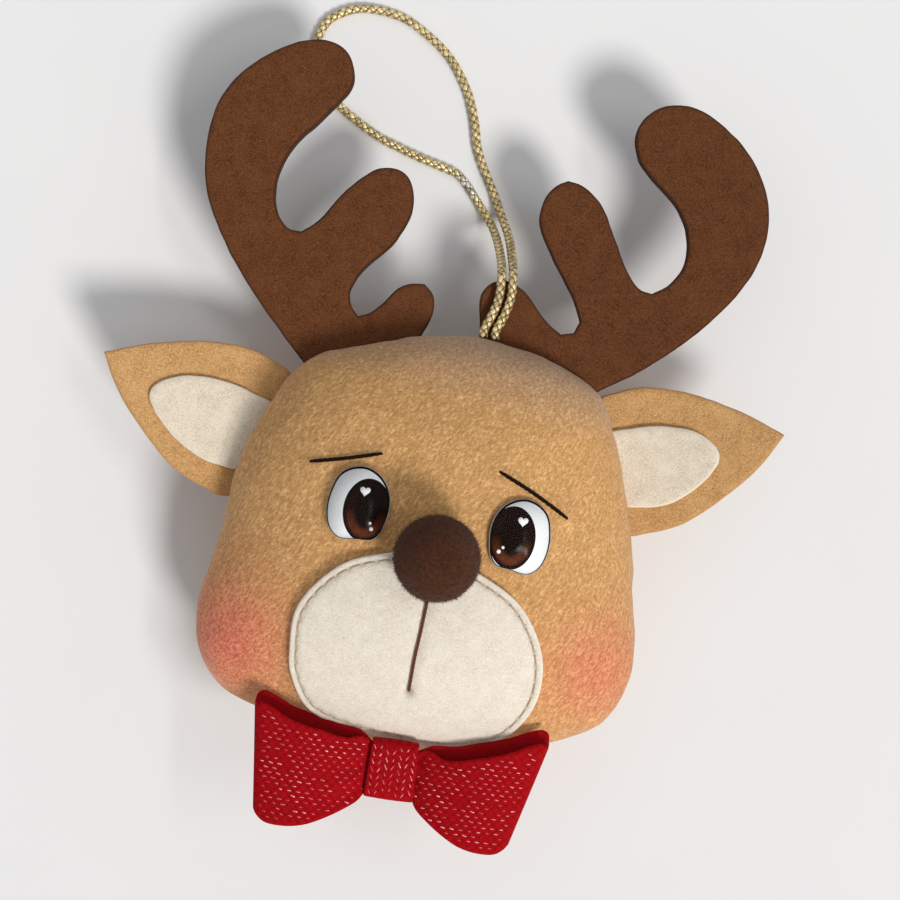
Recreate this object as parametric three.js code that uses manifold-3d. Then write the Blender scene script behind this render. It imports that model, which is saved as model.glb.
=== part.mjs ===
// A stuffed felt reindeer head that hangs on a gold cord, lying on its back.
// Millimetres. +Z points out of the face, +Y to the antlers, +X to the right seen from in front.
// The origin is the middle of the flat patch that the head lies on.

import * as THREE from 'three';
import { mergeVertices } from 'three/addons/utils/BufferGeometryUtils.js';
import Module from 'manifold-3d';

const wasm = await Module();
wasm.setup();

// Clearance between pieces that touch
const GAP = 0.3;
const GLUE_GAP = 0.1;

// How far apart the places are that give the face's slope
const SLOPE_STEP = 0.15;

// Head: two panels of plush felt that meet at the seam, and the filling between them
const HEAD_HALF_WIDTH = 42;
const HEAD_HALF_HEIGHT = 41;
const FRONT_DEPTH = 24;
const BACK_DEPTH = 18;
const REST_CUT = 0.5;
const PLUSH_THICKNESS = 1.2;
const STUFFING_SIDE = 1;
const SLOT_OVERRUN = 2;

// Muzzle patch with its running stitch, and the mouth stitch on it
const MUZZLE_HALF_WIDTH = 22.5;
const MUZZLE_HALF_HEIGHT = 17.4;
const MUZZLE_THICKNESS = 1.3;
const MUZZLE_CROWN = 0.6;
const STITCH_INSET = 2.3;
const STITCH_LENGTH = 2.9;
const STITCH_THREAD = 0.5;
const STITCH_RISE = 0.2;
const MOUTH_THREAD = 0.8;

// Nose: a felt ball with a flat glued back
const NOSE_RADIUS = 7.5;
const NOSE_FLAT_DEPTH = 1.6;

// Eyes: a printed plate, its iris and a clear dome
const EYE_HALF_WIDTH = 5.6;
const EYE_HALF_HEIGHT = 6.6;
const EYE_PLATE_THICKNESS = 0.6;
const EYE_TURN = THREE.MathUtils.degToRad(-2);
const LEFT_EYE_OVER_MUZZLE = 2.8;
const RIGHT_EYE_OVER_MUZZLE = 3.2;
const IRIS_HALF_WIDTH = 4;
const IRIS_HALF_HEIGHT = 5.4;
const IRIS_THICKNESS = 0.2;
const DOME_EDGE = 0.7;
const DOME_RISE = 1.9;
const BROW_THREAD = 0.9;

// Ears: a caramel felt leaf with a smaller cream one on it
const EAR_LENGTH = 30.5;
const EAR_HALF_WIDTH = 14.25;
const EAR_THICKNESS = 1.2;
const INNER_EAR_THICKNESS = 1;

// Antlers: two layers of stiff brown felt
const ANTLER_LENGTH = 60;
const ANTLER_LAYER = 1.2;

// Bow: a flattened loop of red felt, drawn in at the middle by a band
const BOW_HALF_LENGTH = 24.9;
const BOW_RISE = 11.1;
const BOW_DROP = 11.6;
const BOW_PINCH = 3.7;
const BOW_FRONT_PUFF = 2.6;
const BOW_BACK_PUFF = 1;
const BOW_THICKNESS = 0.9;
const LEFT_LEAN_SHARE = 0.05;
const RIGHT_LEAN_SHARE = 0.1;
const BOW_TURN = THREE.MathUtils.degToRad(0.8);
const BOW_SEAT = 0.45;
const BAND_WIDTH = 8.7;
const BAND_THICKNESS = 0.9;
const BAND_CORNER = 1.6;

// Hanging cord: a loop, and its two ends knotted inside the head
const CORD_DIAMETER = 1.8;
const CORD_BREAK = 0.8;
const KNOT_DIAMETER = 5;
const KNOT_DEPTH = 11;

// The cord's centreline: up from the head, round the loop on the table and back down again
const CORD_ROUTE = [
  [8.2, 42.4, 20.7], [9.2, 45, 20.7], [10, 48.5, 20.6], [9.9, 52.5, 20.4], [9.1, 57.6, 13.4],
  [7.8, 62.5, 6.2], [5.9, 66.6, 2.6], [3.9, 70.6, 1], [1.7, 74.3, 1], [-0.7, 79, 1],
  [-2.3, 84.7, 1], [-4.8, 90.5, 1], [-9.3, 96.4, 1], [-14.5, 100.2, 1], [-19.5, 102.6, 1],
  [-26.1, 103.4, 1], [-30, 102.6, 1], [-34.2, 99.8, 1], [-35.7, 96.3, 1], [-36, 92.6, 1],
  [-34.8, 88.7, 1], [-32.7, 85.6, 1], [-29.4, 83.2, 1], [-25.4, 80.8, 1], [-20.4, 78.2, 1],
  [-15.5, 76.6, 1], [-10.6, 75.2, 1], [-6.4, 74.2, 1], [-4.1, 73.5, 1], [-2.1, 72, 1],
  [-0.3, 70, 1], [1.7, 67.6, 1], [4, 64.7, 2.7], [5.6, 61.6, 6.2], [7, 57, 13.4],
  [7.7, 52.5, 20.4], [7.8, 48.4, 20.6], [7, 45, 20.7], [6, 42.4, 20.7],
];

// Outlines as shares, anticlockwise seen from in front

// Head outline, of its half width and half height, from the top
const HEAD_SHARES = [
  [0.18, 1], [-0.08, 0.98], [-0.33, 0.91], [-0.62, 0.78], [-0.78, 0.53], [-0.87, 0.24], [-0.9, -0.1],
  [-0.95, -0.42], [-0.9, -0.65], [-0.76, -0.8], [-0.4, -0.905], [0.02, -0.94], [0.5, -0.89],
  [0.8, -0.785], [0.96, -0.67], [1.04, -0.48], [1.04, -0.25], [0.99, 0.04], [0.92, 0.33],
  [0.83, 0.6], [0.72, 0.81], [0.5, 0.94],
];
const FULLNESS_SHARE = 2.2;

// Muzzle outline, of its half sizes about its own middle
const MUZZLE_SHARES = [
  [0.04, 1.02], [-0.32, 0.93], [-0.67, 0.76], [-0.98, 0.27], [-1, -0.18], [-0.94, -0.42], [-0.69, -0.75],
  [-0.14, -0.97], [0.39, -0.99], [0.77, -0.78], [1, -0.36], [1, 0.14], [0.77, 0.62], [0.4, 0.86],
];

// Right eye outline, of its half sizes, with its outer side at +x; the left one is its mirror image
const EYE_SHARES = [
  [0, 1], [-0.4, 0.9], [-0.72, 0.68], [-0.93, 0.36], [-1, 0], [-0.95, -0.38], [-0.84, -0.71],
  [-0.62, -0.9], [-0.18, -0.95], [0.39, -1], [0.7, -0.86], [0.9, -0.6], [1, -0.18], [0.96, 0.24],
  [0.79, 0.67], [0.46, 0.91],
];
const IRIS_PLACE_SHARES = [-0.26, -0.1];

// Right ear's edges from its root, of its length and half width; the left one is its mirror image
const EAR_LOWER_SHARES = [[0.18, -0.91], [0.46, -0.67], [0.68, -0.26], [0.88, 0.25], [1, 0.73]];
const EAR_UPPER_SHARES = [[1, 0.73], [0.75, 0.93], [0.4, 1.09], [0.1, 1.07], [-0.12, 0.88]];
const EAR_ROOT_SHARES = [[-0.24, 0.56], [-0.06, -0.82]];
const INNER_EAR_SHARES = [
  [0.14, -0.53], [0.33, -0.45], [0.56, -0.13], [0.69, 0.27], [0.66, 0.42], [0.5, 0.59], [0.24, 0.6],
  [0, 0.46],
];
const INNER_EAR_ROOT_SHARES = [[-0.14, 0.36], [-0.02, -0.5]];

// Antler edges from root to root, of the antler's length about the middle of its root
const LEFT_ANTLER_SHARES = [
  [0.18, 0.09], [0.2, 0.16], [0.17, 0.23], [0.095, 0.22], [0.025, 0.14], [-0.03, 0.1], [-0.07, 0.16],
  [-0.04, 0.245], [0.045, 0.35], [0.085, 0.47], [0.05, 0.565], [-0.03, 0.575], [-0.12, 0.5],
  [-0.21, 0.37], [-0.265, 0.33], [-0.325, 0.37], [-0.35, 0.47], [-0.32, 0.585], [-0.22, 0.72],
  [-0.16, 0.83], [-0.2, 0.92], [-0.285, 0.94], [-0.43, 0.87], [-0.55, 0.73], [-0.58, 0.58],
  [-0.56, 0.42], [-0.47, 0.25], [-0.33, 0.08], [-0.18, -0.07],
];
const LEFT_ANTLER_ROOT_SHARES = [[-0.11, -0.12], [0.14, 0.01]];
const RIGHT_ANTLER_SHARES = [
  [0.19, -0.08], [0.33, 0.02], [0.495, 0.185], [0.605, 0.365], [0.625, 0.525], [0.57, 0.675],
  [0.455, 0.79], [0.335, 0.845], [0.24, 0.83], [0.18, 0.76], [0.195, 0.665], [0.26, 0.595],
  [0.34, 0.525], [0.385, 0.435], [0.385, 0.335], [0.295, 0.245], [0.235, 0.28], [0.165, 0.395],
  [0.09, 0.515], [-0.01, 0.56], [-0.07, 0.505], [-0.08, 0.42], [-0.02, 0.31], [0.065, 0.19],
  [0.095, 0.11], [0.055, 0.075], [-0.02, 0.12], [-0.095, 0.195], [-0.17, 0.22], [-0.225, 0.17],
  [-0.21, 0.04],
];
const RIGHT_ANTLER_ROOT_SHARES = [[-0.14, -0.04], [0.125, -0.13]];

// Bow wing's upper and lower edge from the band to its end, of its length and of its rise or drop
const WING_UPPER_SHARES = [
  [0, 0.38], [0.06, 0.42], [0.27, 0.45], [0.45, 0.58], [0.65, 0.75], [0.85, 0.95], [0.94, 1], [1, 0.93],
];
const WING_LOWER_SHARES = [
  [0, 0.36], [0.06, 0.5], [0.19, 0.66], [0.36, 0.83], [0.52, 0.95], [0.7, 1.01], [0.88, 1], [1, 0.86],
];

// How far the wing's layers part from the band to its end, of its length and of their puff
const WING_DEPTH_SHARES = [
  [0, 0], [0.06, 0.25], [0.2, 0.65], [0.38, 0.92], [0.6, 1], [0.86, 0.68], [0.96, 0.4],
];

// The nose's place and the mouth stitch, of the muzzle's half sizes about its middle
const NOSE_PLACE_SHARES = [0.045, 0.971];
const MOUTH_SHARES = [[0.037, 0.59], [0.022, 0.24], [0.007, -0.04], [0, -0.415]];

// Brow stitches, of the eye's half sizes about the middle of their eye
const LEFT_BROW_SHARES = [[-1.82, 0.89], [-0.64, 1.2], [0.52, 1.41]];
const RIGHT_BROW_SHARES = [[-1, 1.65], [0.27, 1.18], [1.5, 0.59]];

// Places on the head, of its half width and half height
const MUZZLE_PLACE_SHARES = [0.062, -0.412];
const LEFT_EYE_PLACE_SHARE = -0.264;
const RIGHT_EYE_PLACE_SHARE = 0.42;
const LEFT_EAR_PLACE_SHARES = [-0.79, 0.4];
const RIGHT_EAR_PLACE_SHARES = [0.81, 0.51];
const LEFT_ANTLER_PLACE_SHARES = [-0.381, 0.854];
const RIGHT_ANTLER_PLACE_SHARES = [0.429, 0.951];
const BOW_PLACE_SHARES = [0.045, -0.978];

// Counts of facets
const HEAD_STEPS = 44;
const HEAD_RINGS = 8;
const EDGE_SAMPLES = 132;
const MUZZLE_STEPS = 36;
const MUZZLE_RINGS = 6;
const STITCH_SIDES = 5;
const THREAD_STEPS = 10;
const THREAD_SIDES = 6;
const NOSE_STEPS = 28;
const NOSE_RINGS = 12;
const EYE_STEPS = 32;
const IRIS_STEPS = 24;
const DOME_RINGS = 4;
const EAR_STEPS = 14;
const ANTLER_STEPS = 84;
const BAND_CORNER_STEPS = 4;
const CORD_STEPS = 70;
const CORD_SIDES = 8;
const KNOT_STEPS = 16;
const KNOT_RINGS = 10;

// How far a sharp corner may move out, as the least divisor of its move
const MITRE_LIMIT_SHARE = 0.5;

// Colours from the felt, print, thread and cord
const TAN = 0xc09a6b;
const CREAM = 0xe6dccb;
const CARAMEL = 0xb98049;
const CHOCOLATE = 0x5a3420;
const NOSE_COLOUR = 0x3d2217;
const RED = 0xa80f1c;
const GOLD = 0xc9a24a;
const WHITE = 0xf2f2f0;
const IRIS_BROWN = 0x2a120b;
const THREAD_BLACK = 0x1c1512;
const THREAD_BROWN = 0x6d2a1c;
const THREAD_BEIGE = 0xb59c7c;
const DOME_OPACITY = 0.3;

const TURN = 2 * Math.PI;

// Materials

function felt(colour) {
  return new THREE.MeshStandardMaterial({ color: colour, roughness: 0.95, metalness: 0 });
}

function gloss(colour) {
  return new THREE.MeshStandardMaterial({ color: colour, roughness: 0.08, metalness: 0 });
}

function clear(colour) {
  const material = gloss(colour);
  material.transparent = true;
  material.opacity = DOME_OPACITY;
  return material;
}

function braid(colour) {
  return new THREE.MeshStandardMaterial({ color: colour, roughness: 0.35, metalness: 0.8 });
}

// Geometry helpers

function scaled(shares, halfWidth, halfHeight, middle = [0, 0]) {
  return shares.map(([x, y]) => new THREE.Vector2(middle[0] + x * halfWidth, middle[1] + y * halfHeight));
}

function mirrored(points) {
  return points.map((point) => new THREE.Vector2(-point.x, point.y)).reverse();
}

function moved(points, [x, y]) {
  return points.map((point) => new THREE.Vector2(point.x + x, point.y + y));
}

function smoothLoop(points, steps) {
  const curve = new THREE.CatmullRomCurve3(points.map(({ x, y }) => new THREE.Vector3(x, y, 0)), true);
  return curve.getSpacedPoints(steps).slice(0, steps).map(({ x, y }) => new THREE.Vector2(x, y));
}

function smoothEdge(points, steps) {
  const curve = new THREE.CatmullRomCurve3(points.map(({ x, y }) => new THREE.Vector3(x, y, 0)));
  return curve.getSpacedPoints(steps).map(({ x, y }) => new THREE.Vector2(x, y));
}

// An anticlockwise outline with each side moved out by a distance
function grown(points, distance) {
  return points.map((point, index) => {
    const before = new THREE.Vector2().subVectors(point, points.at(index - 1)).normalize();
    const after = new THREE.Vector2().subVectors(points[(index + 1) % points.length], point).normalize();
    const tangent = before.clone().add(after).normalize();
    const reach = distance / Math.max(tangent.dot(before), MITRE_LIMIT_SHARE);
    return new THREE.Vector2(point.x + tangent.y * reach, point.y - tangent.x * reach);
  });
}

// The value at a place in a table of pairs that rise in their first number
function along(pairs, place) {
  const next = pairs.findIndex(([start]) => start >= place);
  if (next < 0) return pairs.at(-1)[1];
  if (next === 0) return pairs[0][1];
  const [[a, from], [b, to]] = [pairs[next - 1], pairs[next]];
  return from + (to - from) * ((place - a) / (b - a));
}

// Vertices and triangles as a geometry whose faces point out
function meshed(points, triangles) {
  const volume = triangles.reduce((sum, [a, b, c]) => {
    return sum + points[a].dot(new THREE.Vector3().crossVectors(points[b], points[c]));
  }, 0);
  const faces = volume < 0 ? triangles.map(([a, b, c]) => [a, c, b]) : triangles;
  const geometry = new THREE.BufferGeometry().setFromPoints(points);
  geometry.setIndex(faces.flat());
  geometry.computeVertexNormals();
  return geometry;
}

// A closed body between two surfaces, each a function of the ring and of the step round it.
// Ring 0 is the middle point, and a side wall joins the two outermost rings.
function bodyBetween(steps, rings, upper, lower) {
  const points = [];
  for (const surface of [upper, lower]) {
    points.push(surface(0, 0));
    for (let ring = 1; ring <= rings; ring += 1) {
      for (let step = 0; step < steps; step += 1) points.push(surface(ring, step));
    }
  }
  const at = (side, ring, step) => {
    const inSurface = ring === 0 ? 0 : 1 + (ring - 1) * steps + (step % steps);
    return side * (1 + rings * steps) + inSurface;
  };
  const triangles = [];
  for (let step = 0; step < steps; step += 1) {
    const next = step + 1;
    for (const side of [0, 1]) {
      const faces = [[at(side, 0, 0), at(side, 1, step), at(side, 1, next)]];
      for (let ring = 1; ring < rings; ring += 1) {
        const [a, b] = [at(side, ring, step), at(side, ring, next)];
        const [c, d] = [at(side, ring + 1, step), at(side, ring + 1, next)];
        faces.push([a, c, d], [a, d, b]);
      }
      triangles.push(...faces.map(([a, b, c]) => (side ? [a, c, b] : [a, b, c])));
    }
    const [a, b] = [at(0, rings, step), at(0, rings, next)];
    const [c, d] = [at(1, rings, step), at(1, rings, next)];
    triangles.push([c, d, b], [c, b, a]);
  }
  return meshed(points, triangles);
}

// A closed ring whose sections are lists of as many points each
function ringOf(sections) {
  const size = sections[0].length;
  const at = (section, corner) => (section % sections.length) * size + (corner % size);
  const triangles = [];
  sections.forEach((_, index) => {
    for (let corner = 0; corner < size; corner += 1) {
      const [a, b] = [at(index, corner), at(index, corner + 1)];
      const [c, d] = [at(index + 1, corner), at(index + 1, corner + 1)];
      triangles.push([a, c, d], [a, d, b]);
    }
  });
  return meshed(sections.flat(), triangles);
}

function sheetOf(outline, thickness, bottom) {
  const shape = new THREE.Shape(outline);
  const sheet = new THREE.ExtrudeGeometry(shape, { depth: thickness, bevelEnabled: false });
  return sheet.translate(0, 0, bottom);
}

function roundOutline(radius, sides) {
  const turns = Array.from({ length: sides }, (_, side) => (side / sides) * TURN);
  return turns.map((turn) => new THREE.Vector2(radius * Math.cos(turn), radius * Math.sin(turn)));
}

function tubeAlong(points, diameter, steps, sides) {
  const extrudePath = new THREE.CatmullRomCurve3(points);
  const section = new THREE.Shape(roundOutline(diameter / 2, sides));
  return new THREE.ExtrudeGeometry(section, { steps, extrudePath, bevelEnabled: false });
}

function solidOf(geometry) {
  const bare = geometry.clone();
  bare.deleteAttribute('normal');
  bare.deleteAttribute('uv');
  const { attributes, index } = mergeVertices(bare);
  const vertProperties = attributes.position.array;
  const triVerts = new Uint32Array(index.array);
  return new wasm.Manifold(new wasm.Mesh({ numProp: 3, vertProperties, triVerts }));
}

function geometryOf(solid) {
  const { vertProperties, triVerts } = solid.getMesh();
  const geometry = new THREE.BufferGeometry();
  geometry.setAttribute('position', new THREE.BufferAttribute(vertProperties, 3));
  geometry.setIndex(new THREE.BufferAttribute(triVerts, 1));
  geometry.computeVertexNormals();
  return geometry;
}

function cut(geometry, tools) {
  return geometryOf(tools.reduce((solid, tool) => solid.subtract(solidOf(tool)), solidOf(geometry)));
}

function onHead([x, y]) {
  return [x * HEAD_HALF_WIDTH, y * HEAD_HALF_HEIGHT];
}

// Head shape: domed panels over one outline

const SEAM_Z = BACK_DEPTH;
const FRONT_RIM_Z = SEAM_Z + GAP / 2;
const BACK_RIM_Z = SEAM_Z - GAP / 2;
const headEdge = smoothLoop(scaled(HEAD_SHARES, HEAD_HALF_WIDTH, HEAD_HALF_HEIGHT), HEAD_STEPS);
const fineEdge = smoothLoop(scaled(HEAD_SHARES, HEAD_HALF_WIDTH, HEAD_HALF_HEIGHT), EDGE_SAMPLES);

// How high a domed panel stands at a share of the way from its middle to its edge
function domeShare(share) {
  return (1 - Math.min(share, 1) ** FULLNESS_SHARE) ** (1 / FULLNESS_SHARE);
}

// Ring places that are even along a domed panel's curve
function ringShare(ring, rings, first = 0) {
  const angle = ((TURN / 4) * ring) / rings;
  return first + (1 - first) * Math.sin(angle) ** (2 / FULLNESS_SHARE);
}

// The share of the way from the middle of the head to its edge at a place
function edgeShare(x, y) {
  const cross = (ax, ay, bx, by) => ax * by - ay * bx;
  for (let index = 0; index < fineEdge.length; index += 1) {
    const a = fineEdge[index];
    const b = fineEdge[(index + 1) % fineEdge.length];
    if (cross(a.x, a.y, x, y) >= 0 && cross(x, y, b.x, b.y) > 0) {
      return cross(x, y, b.x - a.x, b.y - a.y) / cross(a.x, a.y, b.x - a.x, b.y - a.y);
    }
  }
  return 0;
}

function faceZ(x, y) {
  return FRONT_RIM_Z + (SEAM_Z + FRONT_DEPTH - FRONT_RIM_Z) * domeShare(edgeShare(x, y));
}

function faceNormal(x, y) {
  const slopeX = (faceZ(x + SLOPE_STEP, y) - faceZ(x - SLOPE_STEP, y)) / (2 * SLOPE_STEP);
  const slopeY = (faceZ(x, y + SLOPE_STEP) - faceZ(x, y - SLOPE_STEP)) / (2 * SLOPE_STEP);
  return new THREE.Vector3(-slopeX, -slopeY, 1).normalize();
}

// The point a height above the face's felt at a place
function aboveFace(x, y, height) {
  return new THREE.Vector3(x, y, faceZ(x, y)).addScaledVector(faceNormal(x, y), height);
}

function domedSurface(edge, share, rimZ, topZ) {
  return (ring, step) => {
    const out = share(ring);
    return new THREE.Vector3(edge[step].x * out, edge[step].y * out, rimZ + (topZ - rimZ) * domeShare(out));
  };
}

function headFront(slots) {
  const share = (ring) => ringShare(ring, HEAD_RINGS);
  const inside = grown(headEdge, -PLUSH_THICKNESS);
  const topZ = SEAM_Z + FRONT_DEPTH;
  const outer = domedSurface(headEdge, share, FRONT_RIM_Z, topZ);
  const inner = domedSurface(inside, share, FRONT_RIM_Z, topZ - PLUSH_THICKNESS);
  return cut(bodyBetween(HEAD_STEPS, HEAD_RINGS, outer, inner), slots);
}

// The back's depth runs on past the flat patch, whose edge is the first ring
function headBack(slots) {
  const lowestZ = -REST_CUT;
  const flatShare = (1 - (BACK_RIM_Z / (BACK_RIM_Z - lowestZ)) ** FULLNESS_SHARE) ** (1 / FULLNESS_SHARE);
  const share = (ring) => (ring === 0 ? 0 : ringShare(ring - 1, HEAD_RINGS - 1, flatShare));
  const inside = grown(headEdge, -PLUSH_THICKNESS);
  const full = domedSurface(headEdge, share, BACK_RIM_Z, lowestZ);
  const outer = (ring, step) => {
    const point = full(ring, step);
    return ring < 2 ? point.setZ(0) : point;
  };
  const inner = domedSurface(inside, share, BACK_RIM_Z, lowestZ + PLUSH_THICKNESS + REST_CUT);
  return cut(bodyBetween(HEAD_STEPS, HEAD_RINGS, inner, outer), slots);
}

function stuffing(slots) {
  const share = (ring) => ringShare(ring, HEAD_RINGS);
  const wall = PLUSH_THICKNESS + GAP;
  const inside = grown(headEdge, -wall);
  const upper = domedSurface(inside, share, SEAM_Z + STUFFING_SIDE / 2, SEAM_Z + FRONT_DEPTH - wall);
  const lower = domedSurface(inside, share, SEAM_Z - STUFFING_SIDE / 2, wall);
  return cut(bodyBetween(HEAD_STEPS, HEAD_RINGS, upper, lower), slots);
}

// Felt pieces that are sewn into the seam

function antlerOutline(edgeShares, rootShares, placeShares) {
  const edge = smoothEdge(scaled(edgeShares, ANTLER_LENGTH, ANTLER_LENGTH), ANTLER_STEPS);
  return moved([...edge, ...scaled(rootShares, ANTLER_LENGTH, ANTLER_LENGTH)], onHead(placeShares));
}

function earOutline() {
  const lower = smoothEdge(scaled(EAR_LOWER_SHARES, EAR_LENGTH, EAR_HALF_WIDTH), EAR_STEPS);
  const upper = smoothEdge(scaled(EAR_UPPER_SHARES, EAR_LENGTH, EAR_HALF_WIDTH), EAR_STEPS);
  return [...lower, ...upper.slice(1), ...scaled(EAR_ROOT_SHARES, EAR_LENGTH, EAR_HALF_WIDTH)];
}

function innerEarOutline() {
  const edge = smoothEdge(scaled(INNER_EAR_SHARES, EAR_LENGTH, EAR_HALF_WIDTH), 2 * EAR_STEPS);
  return [...edge, ...scaled(INNER_EAR_ROOT_SHARES, EAR_LENGTH, EAR_HALF_WIDTH)];
}

const SEWN_IN = {
  left_antler_front: {
    outline: antlerOutline(LEFT_ANTLER_SHARES, LEFT_ANTLER_ROOT_SHARES, LEFT_ANTLER_PLACE_SHARES),
    bottom: SEAM_Z,
    thickness: ANTLER_LAYER,
    colour: CHOCOLATE,
  },
  right_antler_front: {
    outline: antlerOutline(RIGHT_ANTLER_SHARES, RIGHT_ANTLER_ROOT_SHARES, RIGHT_ANTLER_PLACE_SHARES),
    bottom: SEAM_Z,
    thickness: ANTLER_LAYER,
    colour: CHOCOLATE,
  },
  left_ear_outer: {
    outline: moved(mirrored(earOutline()), onHead(LEFT_EAR_PLACE_SHARES)),
    bottom: SEAM_Z - EAR_THICKNESS / 2,
    thickness: EAR_THICKNESS,
    colour: CARAMEL,
  },
  right_ear_outer: {
    outline: moved(earOutline(), onHead(RIGHT_EAR_PLACE_SHARES)),
    bottom: SEAM_Z - EAR_THICKNESS / 2,
    thickness: EAR_THICKNESS,
    colour: CARAMEL,
  },
  left_ear_inner: {
    outline: moved(mirrored(innerEarOutline()), onHead(LEFT_EAR_PLACE_SHARES)),
    bottom: SEAM_Z + EAR_THICKNESS / 2 + GLUE_GAP,
    thickness: INNER_EAR_THICKNESS,
    colour: CREAM,
  },
  right_ear_inner: {
    outline: moved(innerEarOutline(), onHead(RIGHT_EAR_PLACE_SHARES)),
    bottom: SEAM_Z + EAR_THICKNESS / 2 + GLUE_GAP,
    thickness: INNER_EAR_THICKNESS,
    colour: CREAM,
  },
};
for (const side of ['left', 'right']) {
  const front = SEWN_IN[`${side}_antler_front`];
  SEWN_IN[`${side}_antler_back`] = { ...front, bottom: SEAM_Z - ANTLER_LAYER - GLUE_GAP };
}

function slotFor({ outline, bottom, thickness }) {
  return sheetOf(grown(outline, GAP), thickness + 2 * GAP, bottom - GAP);
}

// Hanging cord and its knot

const route = CORD_ROUTE.map(([x, y, z]) => new THREE.Vector3(x, y, z));
const exits = [route[0], route.at(-1)];
const knotPlace = exits[0].clone().lerp(exits[1], 1 / 2).setY(exits[0].y - KNOT_DEPTH);

function hangingCord() {
  return tubeAlong(route, CORD_DIAMETER, CORD_STEPS, CORD_SIDES);
}

// The knot and the two sewn-in ends, with room round them when it makes their slot
function knotAndEnds(room) {
  const ball = new THREE.SphereGeometry(KNOT_DIAMETER / 2 + room, KNOT_STEPS, KNOT_RINGS);
  const section = new THREE.Shape(roundOutline(CORD_DIAMETER / 2 + room, CORD_SIDES));
  const ends = exits.map((exit) => {
    const outside = exit.clone().setY(exit.y - CORD_BREAK + room);
    const extrudePath = new THREE.LineCurve3(exit.clone().setY(knotPlace.y), outside);
    return solidOf(new THREE.ExtrudeGeometry(section, { steps: 1, extrudePath, bevelEnabled: false }));
  });
  return ends.reduce((whole, end) => whole.add(end), solidOf(ball.translate(...knotPlace)));
}

// A slot that runs from the knot out through the seam, down to the antler under the ends
function knotSlot() {
  const low = SEAM_Z + ANTLER_LAYER;
  const high = knotPlace.z + CORD_DIAMETER / 2 + GAP;
  const width = Math.abs(exits[0].x - exits[1].x) + CORD_DIAMETER + 2 * GAP;
  const length = KNOT_DEPTH + SLOT_OVERRUN;
  const slot = new THREE.BoxGeometry(width, length, high - low);
  slot.translate(knotPlace.x, knotPlace.y + length / 2, (high + low) / 2);
  return geometryOf(knotAndEnds(GAP).add(solidOf(slot)));
}

// Face

const muzzleEdge = smoothLoop(
  scaled(MUZZLE_SHARES, MUZZLE_HALF_WIDTH, MUZZLE_HALF_HEIGHT, onHead(MUZZLE_PLACE_SHARES)),
  MUZZLE_STEPS,
);

function muzzleTop(out) {
  return GAP + MUZZLE_THICKNESS + MUZZLE_CROWN * (1 - out ** 2);
}

// The height of the muzzle stitching's middle line where it dips
function stitchSeat() {
  return muzzleTop(1 - STITCH_INSET / MUZZLE_HALF_HEIGHT) + GAP + STITCH_THREAD / 2;
}

function muzzlePatch() {
  const [x, y] = onHead(MUZZLE_PLACE_SHARES);
  const surface = (height) => (ring, step) => {
    const out = ring / MUZZLE_RINGS;
    const edge = muzzleEdge[step];
    return aboveFace(x + (edge.x - x) * out, y + (edge.y - y) * out, height(out));
  };
  return bodyBetween(MUZZLE_STEPS, MUZZLE_RINGS, surface(muzzleTop), surface(() => GAP));
}

// One thread that rises over each stitch and dips to the felt between two
function muzzleStitching() {
  const line = grown(muzzleEdge, -STITCH_INSET);
  const length = line.reduce((sum, point, index) => sum + point.distanceTo(line.at(index - 1)), 0);
  const count = 2 * Math.round(length / STITCH_LENGTH);
  const path = smoothLoop(line, count);
  const points = path.map(({ x, y }, index) => aboveFace(x, y, stitchSeat() + (index % 2) * STITCH_RISE));
  const section = roundOutline(STITCH_THREAD / 2, STITCH_SIDES);
  return ringOf(points.map((point, index) => {
    const ahead = points[(index + 1) % points.length].clone().sub(points.at(index - 1)).normalize();
    const up = faceNormal(path[index].x, path[index].y);
    const side = new THREE.Vector3().crossVectors(ahead, up).normalize();
    return section.map(({ x, y }) => point.clone().addScaledVector(side, x).addScaledVector(up, y));
  }));
}

function onMuzzle([x, y]) {
  const middle = onHead(MUZZLE_PLACE_SHARES);
  return [middle[0] + x * MUZZLE_HALF_WIDTH, middle[1] + y * MUZZLE_HALF_HEIGHT];
}

// How high the muzzle's upper edge is at a place across the face
function muzzleUpperY(x) {
  const nearest = muzzleEdge
    .filter(({ y }) => y > onHead(MUZZLE_PLACE_SHARES)[1])
    .reduce((best, point) => (Math.abs(point.x - x) < Math.abs(best.x - x) ? point : best));
  return nearest.y;
}

// The middle of an eye that stands a distance above the muzzle's edge
function eyeMiddle(placeShare, overMuzzle) {
  const x = placeShare * HEAD_HALF_WIDTH;
  return [x, muzzleUpperY(x) + overMuzzle + EYE_HALF_HEIGHT];
}

const EYES = {
  left: { middle: eyeMiddle(LEFT_EYE_PLACE_SHARE, LEFT_EYE_OVER_MUZZLE), browShares: LEFT_BROW_SHARES },
  right: { middle: eyeMiddle(RIGHT_EYE_PLACE_SHARE, RIGHT_EYE_OVER_MUZZLE), browShares: RIGHT_BROW_SHARES },
};

function threadOnFace(line, height, diameter) {
  const points = smoothEdge(line, THREAD_STEPS).map(({ x, y }) => aboveFace(x, y, height));
  return tubeAlong(points, diameter, THREAD_STEPS, THREAD_SIDES);
}

function browStitch({ middle, browShares }) {
  const line = scaled(browShares, EYE_HALF_WIDTH, EYE_HALF_HEIGHT, middle);
  return threadOnFace(line, GAP + BROW_THREAD / 2, BROW_THREAD);
}

function mouthStitch() {
  const line = scaled(MOUTH_SHARES, MUZZLE_HALF_WIDTH, MUZZLE_HALF_HEIGHT, onHead(MUZZLE_PLACE_SHARES));
  return threadOnFace(line, muzzleTop(0) + GAP + MOUTH_THREAD / 2, MOUTH_THREAD);
}

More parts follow.
